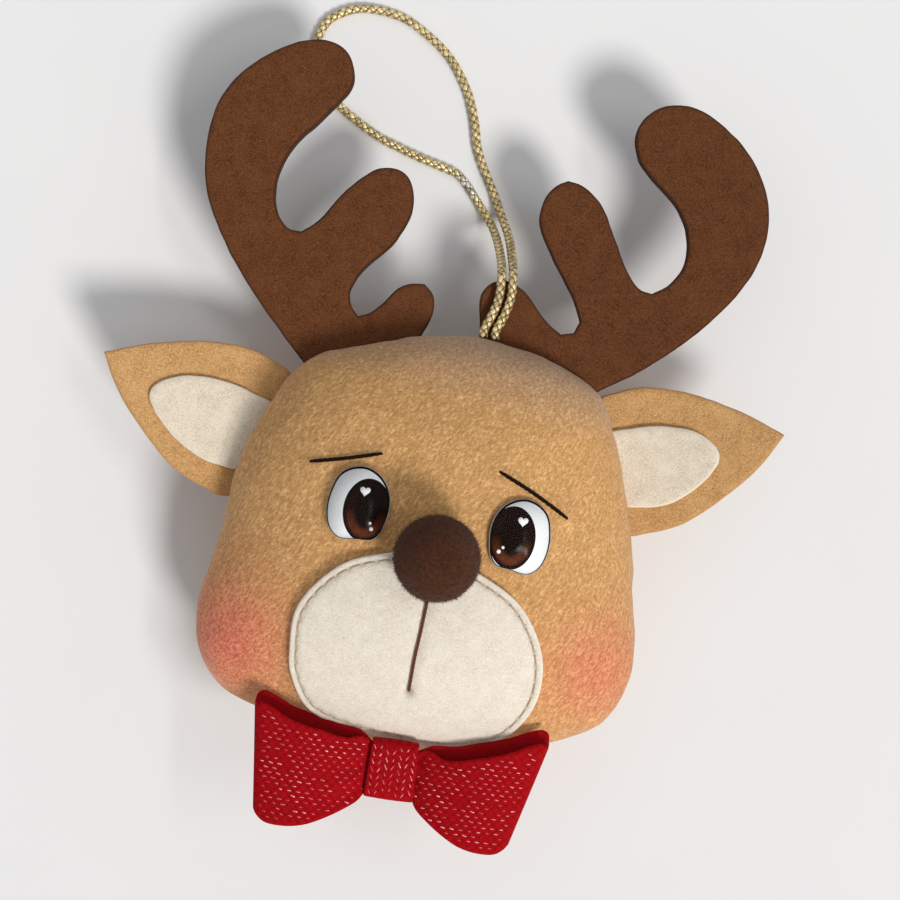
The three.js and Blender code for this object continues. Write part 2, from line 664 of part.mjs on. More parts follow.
// A ball turned about its axis, with its flat back at the bottom
function noseBall() {
  const low = Math.asin(NOSE_FLAT_DEPTH / NOSE_RADIUS - 1);
  const profile = [new THREE.Vector2(0, NOSE_FLAT_DEPTH - NOSE_RADIUS)];
  for (let ring = 0; ring < NOSE_RINGS; ring += 1) {
    const angle = low + ((TURN / 4 - low) * ring) / NOSE_RINGS;
    profile.push(new THREE.Vector2(NOSE_RADIUS * Math.cos(angle), NOSE_RADIUS * Math.sin(angle)));
  }
  profile.push(new THREE.Vector2(0, NOSE_RADIUS));
  return new THREE.LatheGeometry(profile, NOSE_STEPS).rotateX(TURN / 4);
}

function eyeEdge() {
  return smoothLoop(scaled(EYE_SHARES, EYE_HALF_WIDTH, EYE_HALF_HEIGHT), EYE_STEPS);
}

function irisEdge() {
  const middle = [IRIS_PLACE_SHARES[0] * EYE_HALF_WIDTH, IRIS_PLACE_SHARES[1] * EYE_HALF_HEIGHT];
  const unitCircle = roundOutline(1, IRIS_STEPS).map(({ x, y }) => [x, y]);
  return scaled(unitCircle, IRIS_HALF_WIDTH, IRIS_HALF_HEIGHT, middle);
}

function eyeDome(edge, bottom) {
  const flat = (ring, step) => {
    const out = ring / DOME_RINGS;
    return new THREE.Vector3(edge[step].x * out, edge[step].y * out, bottom);
  };
  const domed = (ring, step) => {
    const angle = ((TURN / 4) * ring) / DOME_RINGS;
    const out = Math.sin(angle);
    const height = bottom + DOME_EDGE + DOME_RISE * Math.cos(angle);
    return new THREE.Vector3(edge[step].x * out, edge[step].y * out, height);
  };
  return bodyBetween(EYE_STEPS, DOME_RINGS, domed, flat);
}

// Bow: a loop of felt in its own frame, with its middle at the origin and its front to +Z

// Under the band the loop's two layers lie a gap apart
const BOW_HALF_DEPTH = BOW_THICKNESS + GAP / 2;
const WING_START = BAND_WIDTH / 2 + GAP;
const WING_LENGTH = BOW_HALF_LENGTH - WING_START;

function wingPlace(x) {
  return Math.max(Math.abs(x) - WING_START, 0) / WING_LENGTH;
}

// The middle line of the loop's felt, from the middle of the front round both ends
function bowLine() {
  const closed = BOW_HALF_DEPTH - BOW_THICKNESS / 2;
  const layer = (side, puff) => [
    new THREE.Vector2(0, side * closed),
    ...WING_DEPTH_SHARES.map(([out, depth]) => {
      return new THREE.Vector2(WING_START + WING_LENGTH * out, side * (closed + puff * depth));
    }),
  ];
  const end = new THREE.Vector2(BOW_HALF_LENGTH, 0);
  const right = [...layer(1, BOW_FRONT_PUFF), end, ...layer(-1, BOW_BACK_PUFF).reverse()];
  const left = right.slice(1, -1).map(({ x, y }) => new THREE.Vector2(-x, y));
  return [...right, ...left.reverse()];
}

function bowStrip() {
  const line = bowLine();
  return ringOf(line.map((point, index) => {
    const ahead = line[(index + 1) % line.length].clone().sub(line.at(index - 1)).normalize();
    const out = new THREE.Vector2(-ahead.y, ahead.x).multiplyScalar(BOW_THICKNESS / 2);
    const wing = wingPlace(point.x);
    const lean = point.x < 0 ? LEFT_LEAN_SHARE : RIGHT_LEAN_SHARE;
    const [upperX, lowerX] = [point.x * (1 + lean), point.x * (1 - lean)];
    const high = wing > 0 ? BOW_RISE * along(WING_UPPER_SHARES, wing) : BOW_PINCH;
    const low = wing > 0 ? -BOW_DROP * along(WING_LOWER_SHARES, wing) : -BOW_PINCH;
    return [
      new THREE.Vector3(upperX + out.x, high, point.y + out.y),
      new THREE.Vector3(upperX - out.x, high, point.y - out.y),
      new THREE.Vector3(lowerX - out.x, low, point.y - out.y),
      new THREE.Vector3(lowerX + out.x, low, point.y + out.y),
    ];
  }));
}

function roundedBox(halfWidth, halfHeight, corner) {
  const shape = new THREE.Path();
  const [x, y] = [halfWidth - corner, halfHeight - corner];
  shape.absarc(x, y, corner, 0, TURN / 4);
  shape.absarc(-x, y, corner, TURN / 4, TURN / 2);
  shape.absarc(-x, -y, corner, TURN / 2, (3 * TURN) / 4);
  shape.absarc(x, -y, corner, (3 * TURN) / 4, TURN);
  return shape.getPoints(BAND_CORNER_STEPS).slice(0, -1);
}

// The band runs round the loop's middle, with its opening along x
function bowBand() {
  const [halfDepth, halfHeight] = [BOW_HALF_DEPTH + GAP, BOW_PINCH + GAP];
  const outside = roundedBox(halfDepth + BAND_THICKNESS, halfHeight + BAND_THICKNESS, BAND_CORNER);
  const inside = roundedBox(halfDepth, halfHeight, BAND_CORNER - BAND_THICKNESS);
  const shape = new THREE.Shape(outside);
  shape.holes.push(new THREE.Path(inside));
  const band = new THREE.ExtrudeGeometry(shape, { depth: BAND_WIDTH, bevelEnabled: false });
  return band.translate(0, 0, -BAND_WIDTH / 2).rotateY(TURN / 4);
}

// Whether a place is inside an outline
function isInside(outline, { x, y }) {
  const crossed = outline.filter((a, index) => {
    const b = outline[(index + 1) % outline.length];
    return a.y > y !== b.y > y && x < a.x + ((b.x - a.x) * (y - a.y)) / (b.y - a.y);
  });
  return crossed.length % 2 === 1;
}

// How high the bow's middle stands when its back just clears the chin and the muzzle
function bowHeight(bow, geometries) {
  bow.updateMatrixWorld(true);
  const muzzle = grown(muzzleEdge, GAP);
  const point = new THREE.Vector3();
  let height = SEAM_Z;
  for (const { attributes } of geometries) {
    for (let index = 0; index < attributes.position.count; index += 1) {
      point.fromBufferAttribute(attributes.position, index).applyMatrix4(bow.matrixWorld);
      const covered = isInside(muzzle, point) ? 2 * muzzleTop(1) : 0;
      if (edgeShare(point.x, point.y) < 1) {
        height = Math.max(height, faceZ(point.x, point.y) + BOW_SEAT + covered - point.z);
      }
    }
  }
  return height;
}

// The assembly

const ornament = new THREE.Group();

function add(name, geometry, material, parent = ornament) {
  const mesh = new THREE.Mesh(geometry, material);
  mesh.name = name;
  parent.add(mesh);
}

// A group whose +Z stands on the face at a place, with its origin a height above the felt
function standOnFace([x, y], height) {
  const group = new THREE.Group();
  group.position.copy(aboveFace(x, y, height));
  group.quaternion.setFromUnitVectors(new THREE.Vector3(0, 0, 1), faceNormal(x, y));
  ornament.add(group);
  return group;
}

const slots = [...Object.values(SEWN_IN).map((piece) => slotFor(piece)), knotSlot()];
add('head_front', headFront(slots), felt(TAN));
add('head_back', headBack(slots), felt(TAN));
add('stuffing', stuffing(slots), felt(WHITE));

for (const [name, piece] of Object.entries(SEWN_IN)) {
  add(name, sheetOf(piece.outline, piece.thickness, piece.bottom), felt(piece.colour));
}

add('muzzle_patch', muzzlePatch(), felt(CREAM));
add('muzzle_stitching', muzzleStitching(), felt(THREAD_BEIGE));
add('mouth_stitch', mouthStitch(), felt(THREAD_BROWN));

const noseBack = stitchSeat() + STITCH_RISE + STITCH_THREAD / 2 + GAP;
const nose = standOnFace(onMuzzle(NOSE_PLACE_SHARES), noseBack + NOSE_RADIUS - NOSE_FLAT_DEPTH);
add('nose_ball', noseBall(), felt(NOSE_COLOUR), nose);

for (const [side, placed] of Object.entries(EYES)) {
  const eye = standOnFace(placed.middle, GAP);
  eye.rotateZ(EYE_TURN);
  const own = (edge) => (side === 'left' ? mirrored(edge) : edge);
  const irisBottom = EYE_PLATE_THICKNESS + GLUE_GAP;
  const domeBottom = irisBottom + IRIS_THICKNESS + GLUE_GAP;
  add(`${side}_eye_print`, sheetOf(own(eyeEdge()), EYE_PLATE_THICKNESS, 0), gloss(WHITE), eye);
  add(`${side}_eye_iris`, sheetOf(own(irisEdge()), IRIS_THICKNESS, irisBottom), gloss(IRIS_BROWN), eye);
  add(`${side}_eye_dome`, eyeDome(own(eyeEdge()), domeBottom), clear(WHITE), eye);
  add(`${side}_brow_stitch`, browStitch(placed), felt(THREAD_BLACK));
}

const bow = new THREE.Group();
const bowPieces = [bowStrip(), bowBand()];
bow.position.set(...onHead(BOW_PLACE_SHARES), 0);
bow.rotateZ(BOW_TURN);
bow.position.z = bowHeight(bow, bowPieces);
add('bow_strip', bowPieces[0], felt(RED), bow);
add('bow_band', bowPieces[1], felt(RED), bow);
ornament.add(bow);

add('hanging_cord', hangingCord(), braid(GOLD));
add('cord_knot', geometryOf(knotAndEnds(0)), braid(GOLD));

export default ornament;
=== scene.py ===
# A stuffed felt reindeer head on a gold cord, lying on its back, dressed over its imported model.
# Metres, in the model's frame: +Z comes out of the face, +Y runs to the antlers, +X to the right.

import math
import random

import bmesh
import bpy
import numpy as np
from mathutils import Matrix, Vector, noise
from mathutils.bvhtree import BVHTree
from mathutils.geometry import delaunay_2d_cdt
from mathutils.kdtree import KDTree


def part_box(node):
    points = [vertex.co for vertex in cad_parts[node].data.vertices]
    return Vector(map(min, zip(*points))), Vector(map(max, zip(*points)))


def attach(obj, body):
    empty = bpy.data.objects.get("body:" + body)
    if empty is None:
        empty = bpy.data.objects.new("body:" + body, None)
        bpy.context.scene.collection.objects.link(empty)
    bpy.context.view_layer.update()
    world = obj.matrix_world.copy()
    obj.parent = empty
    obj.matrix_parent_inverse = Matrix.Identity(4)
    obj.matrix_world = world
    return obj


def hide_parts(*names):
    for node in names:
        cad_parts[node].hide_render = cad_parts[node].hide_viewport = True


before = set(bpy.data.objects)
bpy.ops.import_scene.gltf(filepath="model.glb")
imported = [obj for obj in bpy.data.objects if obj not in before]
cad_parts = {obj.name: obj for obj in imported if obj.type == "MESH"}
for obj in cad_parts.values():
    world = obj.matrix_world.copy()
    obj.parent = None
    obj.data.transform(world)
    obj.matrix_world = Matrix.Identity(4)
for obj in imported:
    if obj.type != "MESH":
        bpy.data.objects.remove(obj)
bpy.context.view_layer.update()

MM = 0.001
TURN = 2 * math.pi
SEED = 7

# Head: the model's outline and doming
HEAD_HALF = np.array([42, 41]) * MM
FRONT_DEPTH = 24 * MM
BACK_DEPTH = 18 * MM
SEAM_Z = BACK_DEPTH
REST_CUT = 0.5 * MM
FULLNESS = 2.2
HEAD_SHARES = [
    [0.18, 1], [-0.08, 0.98], [-0.33, 0.91], [-0.62, 0.78], [-0.78, 0.53], [-0.87, 0.24], [-0.9, -0.1],
    [-0.95, -0.42], [-0.9, -0.65], [-0.76, -0.8], [-0.4, -0.905], [0.02, -0.94], [0.5, -0.89],
    [0.8, -0.785], [0.96, -0.67], [1.04, -0.48], [1.04, -0.25], [0.99, 0.04], [0.92, 0.33],
    [0.83, 0.6], [0.72, 0.81], [0.5, 0.94],
]

# Muzzle and mouth
MUZZLE_MIDDLE = np.array([0.062, -0.412]) * HEAD_HALF
MUZZLE_HALF = np.array([22.5, 17.4]) * MM
MUZZLE_SHARES = [
    [0.04, 1.02], [-0.32, 0.93], [-0.66, 0.74], [-0.95, 0.26], [-0.97, -0.18], [-0.94, -0.43],
    [-0.75, -0.8], [-0.14, -0.97], [0.39, -0.99], [0.79, -0.8], [1, -0.36], [0.98, 0.13],
    [0.75, 0.6], [0.4, 0.86],
]
MUZZLE_GAP = 0.3 * MM
MUZZLE_THICKNESS = 1.3 * MM
MUZZLE_CROWN = 0.6 * MM
MUZZLE_GRID = 0.36 * MM
MUZZLE_LONGER, MUZZLE_LARGER = 1.08, 1.12  # flat felt against its outline
STITCH_INSET = 1.25 * MM
STITCH_PITCH = 2.5 * MM
STITCH_LENGTH = 1.95 * MM
STITCH_RADIUS = 0.18 * MM
STITCH_ENDS, STITCH_ARCH = -1.1 * STITCH_RADIUS, 1.95 * STITCH_RADIUS
GROOVE_DEPTH = 0.22 * MM
GROOVE_WIDTH = 0.5 * MM
MOUTH_SHARES = [[0.043, 0.73], [0.037, 0.59], [0.022, 0.24], [0.007, -0.04], [0, -0.415]]
MOUTH_RADIUS = 0.29 * MM
MOUTH_SINK, MOUTH_SINK_START, MOUTH_SINK_RUN = 0.9 * MM, 0.93, 0.07
MOUTH_PINCH, MOUTH_PINCH_REACH = 0.35 * MM, 1.1 * MM
MOUTH_DIMPLE, MOUTH_DIMPLE_REACH = 0.7 * MM, 0.75 * MM
# Reach of the painted shade in the needle holes and at the mouth stitch's lower end.
NEEDLE_HOLE, MOUTH_HOLE = 0.3 * MM, 0.55 * MM

# Hanging cord: the model's route, and the braid round it
CORD_ROUTE = [
    [8.2, 42.4, 20.7], [9.2, 45, 20.7], [10, 48.5, 20.6], [9.9, 52.5, 20.4], [9.1, 57.6, 13.4],
    [7.8, 62.5, 6.2], [5.9, 66.6, 2.6], [3.9, 70.6, 1], [1.7, 74.3, 1], [-0.7, 79, 1],
    [-2.3, 84.7, 1], [-4.8, 90.5, 1], [-9.3, 96.4, 1], [-14.5, 100.2, 1], [-19.5, 102.6, 1],
    [-26.1, 103.4, 1], [-30, 102.6, 1], [-34.2, 99.8, 1], [-35.7, 96.3, 1], [-36, 92.6, 1],
    [-34.8, 88.7, 1], [-32.7, 85.6, 1], [-29.4, 83.2, 1], [-25.4, 80.8, 1], [-20.4, 78.2, 1],
    [-15.5, 76.6, 1], [-10.6, 75.2, 1], [-6.4, 74.2, 1], [-4.1, 73.5, 1], [-2.1, 72, 1],
    [-0.3, 70, 1], [1.7, 67.6, 1], [4, 64.7, 2.7], [5.6, 61.6, 6.2], [7, 57, 13.4],
    [7.7, 52.5, 20.4], [7.8, 48.4, 20.6], [7, 45, 20.7], [6, 42.4, 20.7],
]
CORD_DIAMETER = 1.8 * MM
CORD_TAIL = 1.6 * MM
STRANDS_EACH_WAY = 3
BRAID_PITCH = 4.8 * MM
BRAID_WAVE = 0.13 * MM
STRAND_WIDTH = 1.02 * MM
STRAND_DEPTH = 0.34 * MM
BRAID_STEP = 0.17 * MM
CORE_RADIUS = 0.5 * MM
# One place of the cord where its colour turns silvery grey.
SILVERY_PLACE = np.array([-1.2, 71.8, 1]) * MM
SILVERY_REACH = 3 * MM
KNOT_RADIUS = 0.5 * MM
KNOT_DEPTH = 2.5 * MM
END_DROP = 2.6 * MM

# Camera: straight above the ornament, which lies turned clockwise in the photograph
CAMERA_PLACE = (3.18 * MM, 18.78 * MM, 338 * MM)
CAMERA_TURN = math.radians(9)
CAMERA_LENS = 67.4
CAMERA_SENSOR = 36


# Curves and lists of points

def spline(points, closed=False, per_span=16):
    """Points along a centripetal curve through the given ones."""
    points = np.asarray(points, float)
    if closed:
        line = np.vstack([points[-1:], points, points[:2]])
    else:
        line = np.vstack([2 * points[0] - points[1], points, 2 * points[-1] - points[-2]])
    share = (np.arange(per_span) / per_span)[:, None]
    spans = []
    for a, b, c, d in zip(line, line[1:], line[2:], line[3:]):
        before, within, after = (max(math.dist(p, q), 1e-9) ** 0.5 for p, q in ((a, b), (b, c), (c, d)))
        start = ((b - a) / before - (c - a) / (before + within) + (c - b) / within) * within
        end = ((c - b) / within - (d - b) / (within + after) + (d - c) / after) * within
        cube = 2 * b - 2 * c + start + end
        square = -3 * b + 3 * c - 2 * start - end
        spans.append(b + share * (start + share * (square + share * cube)))
    if not closed:
        spans.append(points[-1:])
    return np.vstack(spans)


def lengths(vectors):
    return np.linalg.norm(vectors, axis=1)


def unit(vectors):
    return vectors / lengths(vectors)[:, None]


def fading(distance, reach, power=2):
    """A share that falls smoothly from 1 as a distance grows past a reach."""
    return np.exp(-(distance / reach) ** power)


def ramp(value, start, run):
    """A share that rises from 0 to 1 as a value goes on from a start over a run."""
    return np.clip((value - start) / run, 0, 1)


def arc_lengths(line):
    return np.concatenate([[0], np.cumsum(lengths(np.diff(line, axis=0)))])


def evenly(points, step, closed=False):
    """The same line with its points about a step apart."""
    line = np.vstack([points, points[:1]]) if closed else np.asarray(points)
    far = arc_lengths(line)
    places = np.linspace(0, far[-1], max(round(far[-1] / step), 2) + 1)
    even = np.stack([np.interp(places, far, column) for column in line.T], axis=1)
    return even[:-1] if closed else even


def closed_line(points, step):
    """A smooth closed line through the given points, as points about a step apart."""
    return evenly(spline(points, closed=True), step, closed=True)


def headings(loop):
    """A closed flat loop's unit tangents, its turn at each corner, and the cosine of half that turn."""
    before = unit(loop - np.roll(loop, 1, axis=0))
    after = unit(np.roll(loop, -1, axis=0) - loop)
    tangent = unit(before + after)
    turn = np.degrees(np.arccos(np.clip((before * after).sum(axis=1), -1, 1)))
    return tangent, turn, (tangent * before).sum(axis=1)


def inset(loop, distance):
    """An anticlockwise loop with each side moved in."""
    tangent, _, cosine = headings(loop)
    reach = distance / np.maximum(cosine, 0.5)
    return loop + np.stack([-tangent[:, 1] * reach, tangent[:, 0] * reach], axis=1)


def smoothed(loop, step, corner=38):
    """A closed loop of few points as a smooth dense one that keeps its sharp corners."""
    _, turn, _ = headings(loop)
    corners = np.flatnonzero(turn > corner)
    if len(corners) == 0:
        return closed_line(loop, step)
    runs = []
    for first, last in zip(corners, np.roll(corners, -1)):
        count = (last - first) % len(loop) or len(loop)
        run = loop[(first + np.arange(count + 1)) % len(loop)]
        dense = spline(run) if len(run) > 2 else run
        runs.append(evenly(dense, step)[:-1])
    return np.vstack(runs)


def area_of(loop):
    ahead = np.roll(loop, -1, axis=0)
    return 0.5 * float(np.sum(loop[:, 0] * ahead[:, 1] - ahead[:, 0] * loop[:, 1]))


def inside(loop, places):
    """Which places are inside a loop."""
    x, y = places[:, 0][:, None], places[:, 1][:, None]
    a, b = loop, np.roll(loop, -1, axis=0)
    spans = (a[:, 1] > y) != (b[:, 1] > y)
    rise = np.where(np.abs(b[:, 1] - a[:, 1]) < 1e-12, 1e-12, b[:, 1] - a[:, 1])
    return (spans & (x < a[:, 0] + (b[:, 0] - a[:, 0]) * (y - a[:, 1]) / rise)).sum(axis=1) % 2 == 1


def distance_to(loop, places):
    """How far each place is from the nearest point of a dense loop."""
    tree = KDTree(len(loop))
    for index, (x, y) in enumerate(loop):
        tree.insert((x, y, 0), index)
    tree.balance()
    return np.array([tree.find((x, y, 0))[2] for x, y in places])


def wobble(points, size, seed=0):
    """Smooth noise from -1 to 1 at each point, with features of a size."""
    offset = Vector((seed * 3.7, seed * 1.3, seed * 7.1))
    return np.array([noise.noise(Vector(point) / size + offset) for point in points])


def frames_along(line):
    """Two unit directions across a line that don't twist along it."""
    tangents = unit(np.gradient(line, axis=0))
    across = np.cross(tangents[0], (0, 0, 1))
    if np.linalg.norm(across) < 1e-3:
        across = np.array([1.0, 0, 0])
    sides = []
    for tangent in tangents:
        across = across - tangent * np.dot(across, tangent)
        across /= np.linalg.norm(across)
        sides.append(across)
    sides = np.array(sides)
    return sides, np.cross(tangents, sides)


# Meshes

def lift(flat, z=0.0):
    return np.column_stack([flat, np.broadcast_to(z, len(flat))])


def shown(name, data):
    """A new object of the scene."""
    item = bpy.data.objects.new(name, data)
    bpy.context.scene.collection.objects.link(item)
    return item


def make(name, points, faces):
    """An object from closed shells, with its faces turned out and smooth."""
    mesh = bpy.data.meshes.new(name)
    mesh.from_pydata(np.asarray(points).tolist(), [], [list(map(int, face)) for face in faces])
    work = bmesh.new()
    work.from_mesh(mesh)
    bmesh.ops.recalc_face_normals(work, faces=work.faces)
    work.to_mesh(mesh)
    work.free()
    mesh.shade_smooth()
    return shown(name, mesh)


def joined(parts):
    """Several shells' points and faces as one list of each."""
    points, faces, start = [], [], 0
    for own_points, own_faces in parts:
        points.append(own_points)
        faces.extend([[index + start for index in face] for face in own_faces])
        start += len(own_points)
    return np.vstack(points), faces


def skin(sections, closed=False):
    """A tube through sections of as many points each; open ends get a cap."""
    count, size = sections.shape[:2]
    points = sections.reshape(-1, 3)
    faces = []
    last = count if closed else count - 1
    for section in range(last):
        here, there = section * size, ((section + 1) % count) * size
        for corner in range(size):
            ahead = (corner + 1) % size
            faces.append((here + corner, there + corner, there + ahead, here + ahead))
    if not closed:
        points = np.vstack([points, sections[0].mean(axis=0), sections[-1].mean(axis=0)])
        first, end, tail = len(points) - 2, len(points) - 1, (count - 1) * size
        for corner in range(size):
            ahead = (corner + 1) % size
            faces.append((first, corner, ahead))
            faces.append((end, tail + ahead, tail + corner))
    return points, faces


def write(piece, name, values):
    """An attribute that gives each point a number or a vector."""
    values = np.asarray(values, np.float32)
    kind, key = ("FLOAT", "value") if values.ndim == 1 else ("FLOAT_VECTOR", "vector")
    piece.data.attributes.new(name, kind, "POINT").data.foreach_set(key, values.ravel())


def sections_along(line, side, up, wide, high):
    """Sections across a line, from how far each of their corners lies to its side and up."""
    return line[:, None] + side[:, None] * wide[..., None] + up[:, None] * high[..., None]


def thread(line, radius, plies, lay, sides=12, taper=0.5 * MM):
    """A twisted thread along a dense line, narrower at its two ends."""
    side, up = frames_along(line)
    far = arc_lengths(line)
    fullness = 0.35 + 0.65 * np.sqrt(ramp(np.minimum(far, far[-1] - far), 0, taper))
    angle = np.arange(sides) / sides * TURN
    lobes = 0.74 + 0.26 * np.abs(np.cos(plies * (angle - far[:, None] / lay * TURN) / 2))
    reach = radius * lobes * fullness[:, None]
    return skin(sections_along(line, side, up, np.cos(angle) * reach, np.sin(angle) * reach))


def filled(loop, grid):
    """A loop filled with triangles about a grid apart; its own points come first."""
    low, high = loop.min(axis=0), loop.max(axis=0)
    rows = np.arange(low[1], high[1], grid * 0.866)
    places = []
    for row, y in enumerate(rows):
        x = np.arange(low[0] + (row % 2) * grid / 2, high[0], grid)
        places.append(np.column_stack([x, np.full(len(x), y)]))
    places = np.vstack(places)
    places = places[inside(loop, places)]
    places = places[distance_to(loop, places) > 0.6 * grid]
    given = np.vstack([loop, places])
    border = [(index, (index + 1) % len(loop)) for index in range(len(loop))]
    # In millimetres, where the tolerance is far below the grid.
    vertices = [Vector(place) * 1000 for place in given]
    outline = [list(range(len(loop)))]
    _, _, faces, origin, _, _ = delaunay_2d_cdt(vertices, border, outline, 1, 1e-6, True)
    source = [from_given[0] if from_given else -1 for from_given in origin]
    triangles = np.array([[source[corner] for corner in face] for face in faces if len(face) == 3])
    triangles = triangles[triangles.min(axis=1) >= 0]
    kept = inside(loop, given[triangles].mean(axis=1))
    return given, triangles[kept].tolist()


def plate(name, loop, place, thickness, grid=0.9 * MM, edge=0.28 * MM, relief=0.05 * MM, shade_in_holes=None):
    """A closed sheet of felt with softened edges. place(flat, height) gives its points in space,
    and the last argument, if given, how much painted shade darkens it at its needle holes."""
    inner = inset(loop, edge)
    flat, triangles = filled(inner, grid)
    count, rim = len(flat), len(loop)
    gap = distance_to(loop, flat)
    bumps = relief * (wobble(lift(flat), 1.1 * MM) + 0.6 * wobble(lift(flat), 4 * MM, 3))
    rows = [
        place(flat, thickness + bumps), place(flat, np.minimum(bumps, 0)),
        place(loop, np.full(rim, thickness - edge)), place(loop, np.full(rim, edge)),
    ]
    faces = list(triangles) + [[count + corner for corner in reversed(face)] for face in triangles]
    top, bottom, high, low = 0, count, 2 * count, 2 * count + rim
    for index in range(rim):
        ahead = (index + 1) % rim
        for upper, lower in ((top, high), (high, low), (low, bottom)):
            faces.append([upper + index, upper + ahead, lower + ahead, lower + index])
    piece = make(name, np.vstack(rows), faces)
    write(piece, "edge_gap", np.concatenate([gap, gap, np.zeros(2 * rim)]) / MM)
    # Painted shade at the needle holes.
    if shade_in_holes:
        write(piece, "hole_shade", shade_in_holes(np.vstack([flat, flat, loop, loop])))
    return piece


def node_mesh(name):
    """A model node's points without doubles, its triangles and their unit normals."""
    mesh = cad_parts[name].data
    mesh.calc_loop_triangles()
    points = np.array([vertex.co for vertex in mesh.vertices])
    keys, places = {}, np.empty(len(points), int)
    for index, point in enumerate(points):
        places[index] = keys.setdefault(tuple(np.round(point / (0.002 * MM)).astype(int)), len(keys))
    merged = np.zeros((len(keys), 3))
    merged[places] = points
    triangles = np.array([[places[corner] for corner in face.vertices] for face in mesh.loop_triangles])
    a, b, c = (merged[triangles[:, corner]] for corner in range(3))
    cross = np.cross(b - a, c - a)
    size = lengths(cross)
    solid = size > 1e-14
    return merged, triangles[solid], cross[solid] / size[solid][:, None], size[solid] / 2


def rim_of(name, direction=(0, 0, 1), least=0.9):
    """The outline of the faces of a model node that look in a direction, in order."""
    points, triangles, normals, _ = node_mesh(name)
    ahead = {}
    facing = triangles[normals @ np.asarray(direction) > least]
    sides = {(a, b) for a, b, c in facing for a, b in ((a, b), (b, c), (c, a))}
    for a, b in sides:
        if (b, a) not in sides:
            ahead[a] = b
    loops = []
    while ahead:
        start, here = next(iter(ahead.items()))
        loop = [start]
        del ahead[start]
        while here != start and here in ahead:
            loop.append(here)
            here = ahead.pop(here)
        loops.append(loop)
    return points[max(loops, key=len)]


# Colours and node materials

NOSE_COLOUR = (0.066, 0.022, 0.01)
NOSE_DARK = (0.034, 0.011, 0.005)
NOSE_LIGHT = (0.13, 0.05, 0.024)
NAP_TURN = -24
NAP_DARK, NAP_MIDDLE, NAP_LIGHT = (0.46, 0.235, 0.085), (0.74, 0.425, 0.175), (0.95, 0.67, 0.355)
CREAM, CARAMEL, CHOCOLATE = (0.8, 0.71, 0.57), (0.6, 0.33, 0.125), (0.125, 0.041, 0.014)


class Nodes:
    """Short calls that add nodes to a node tree."""

    def __init__(self, owner):
        owner.use_nodes = True
        self.tree = owner.node_tree

    def feed(self, socket, value):
        """Links an output to a socket, or sets the socket to a number, vector or colour."""
        if isinstance(value, bpy.types.NodeSocket):
            self.tree.links.new(value, socket)
        else:
            socket.default_value = (*value, 1.0) if socket.type == "RGBA" else value

    def node(self, kind, inputs=None, **settings):
        node = self.tree.nodes.new(kind)
        for key, value in settings.items():
            setattr(node, key, value)
        for key, value in (inputs or {}).items():
            self.feed(node.inputs[key], value)
        return node

    def math(self, operation, *values):
        """An operation on one value, or on several in turn."""
        result = values[0]
        for value in values[1:] or (0.0,):
            result = self.node("ShaderNodeMath", {0: result, 1: value}, operation=operation).outputs[0]
        return result

    def sum_of(self, *parts):
        """The sum of values, each times its share."""
        return self.math("ADD", *(self.math("MULTIPLY", value, share) for value, share in parts))


class Finish(Nodes):
    """A Principled material and the nodes that feed it."""

    def __init__(self, name, roughness=0.9, **constants):
        self.material = bpy.data.materials.new(name)
        super().__init__(self.material)
        self.shader = self.tree.nodes["Principled BSDF"]
        self.feed(self.shader.inputs["Roughness"], roughness)
        for key, value in constants.items():
            self.feed(self.shader.inputs[key.replace("_", " ")], value)
        self.coordinates = self.node("ShaderNodeTexCoord").outputs["Object"]

    def placed(self, turn, stretch):
        """Coordinates that draw a pattern out along turned axes."""
        return self.node("ShaderNodeMapping", {
            "Vector": self.coordinates,
            "Rotation": [math.radians(part) for part in turn],
            "Scale": stretch,
        }, vector_type="TEXTURE").outputs["Vector"]

    def noise(self, size, vector=None, detail=3.0, roughness=0.55, distortion=0.0):
        return self.node("ShaderNodeTexNoise", {
            "Vector": vector or self.coordinates, "Scale": 1 / size, "Detail": detail,
            "Roughness": roughness, "Distortion": distortion,
        }).outputs["Fac"]

    def ranged(self, value, low, high, start=0.0, end=1.0):
        return self.node("ShaderNodeMapRange", {
            "Value": value, "From Min": low, "From Max": high, "To Min": start, "To Max": end,
        }).outputs["Result"]

    def mixed(self, share, first, second):
        return self.node("ShaderNodeMix", {0: share, 6: first, 7: second}, data_type="RGBA").outputs[2]

    def layered(self, base, *layers):
        """A colour under others, each with a value as its share, or a value and the range to take."""
        for colour, value, *span in layers:
            base = self.mixed(self.ranged(value, *span) if span else value, base, colour)
        return base

    def value_of(self, name, output="Fac"):
        return self.node("ShaderNodeAttribute", attribute_name=name).outputs[output]

    def fibres(self, size, turn, length):
        """Thin light lines in one rough direction."""
        grain = self.noise(size, self.placed((0, 0, turn), (1, length, 1)), detail=2.0, distortion=0.6)
        return self.ranged(self.math("ABSOLUTE", self.math("SUBTRACT", grain, 0.5)), 0.0, 0.07, 1.0, 0.0)

    def paint(self, base, *layers):
        self.feed(self.shader.inputs["Base Color"], self.layered(base, *layers))

    def rough(self, value):
        self.feed(self.shader.inputs["Roughness"], value)

    def bump(self, height, strength, distance):
        node = self.node("ShaderNodeBump", {"Height": height, "Strength": strength, "Distance": distance})
        self.feed(self.shader.inputs["Normal"], node.outputs["Normal"])

    def on(self, piece):
        piece.data.materials.clear()
        piece.data.materials.append(self.material)
        return piece


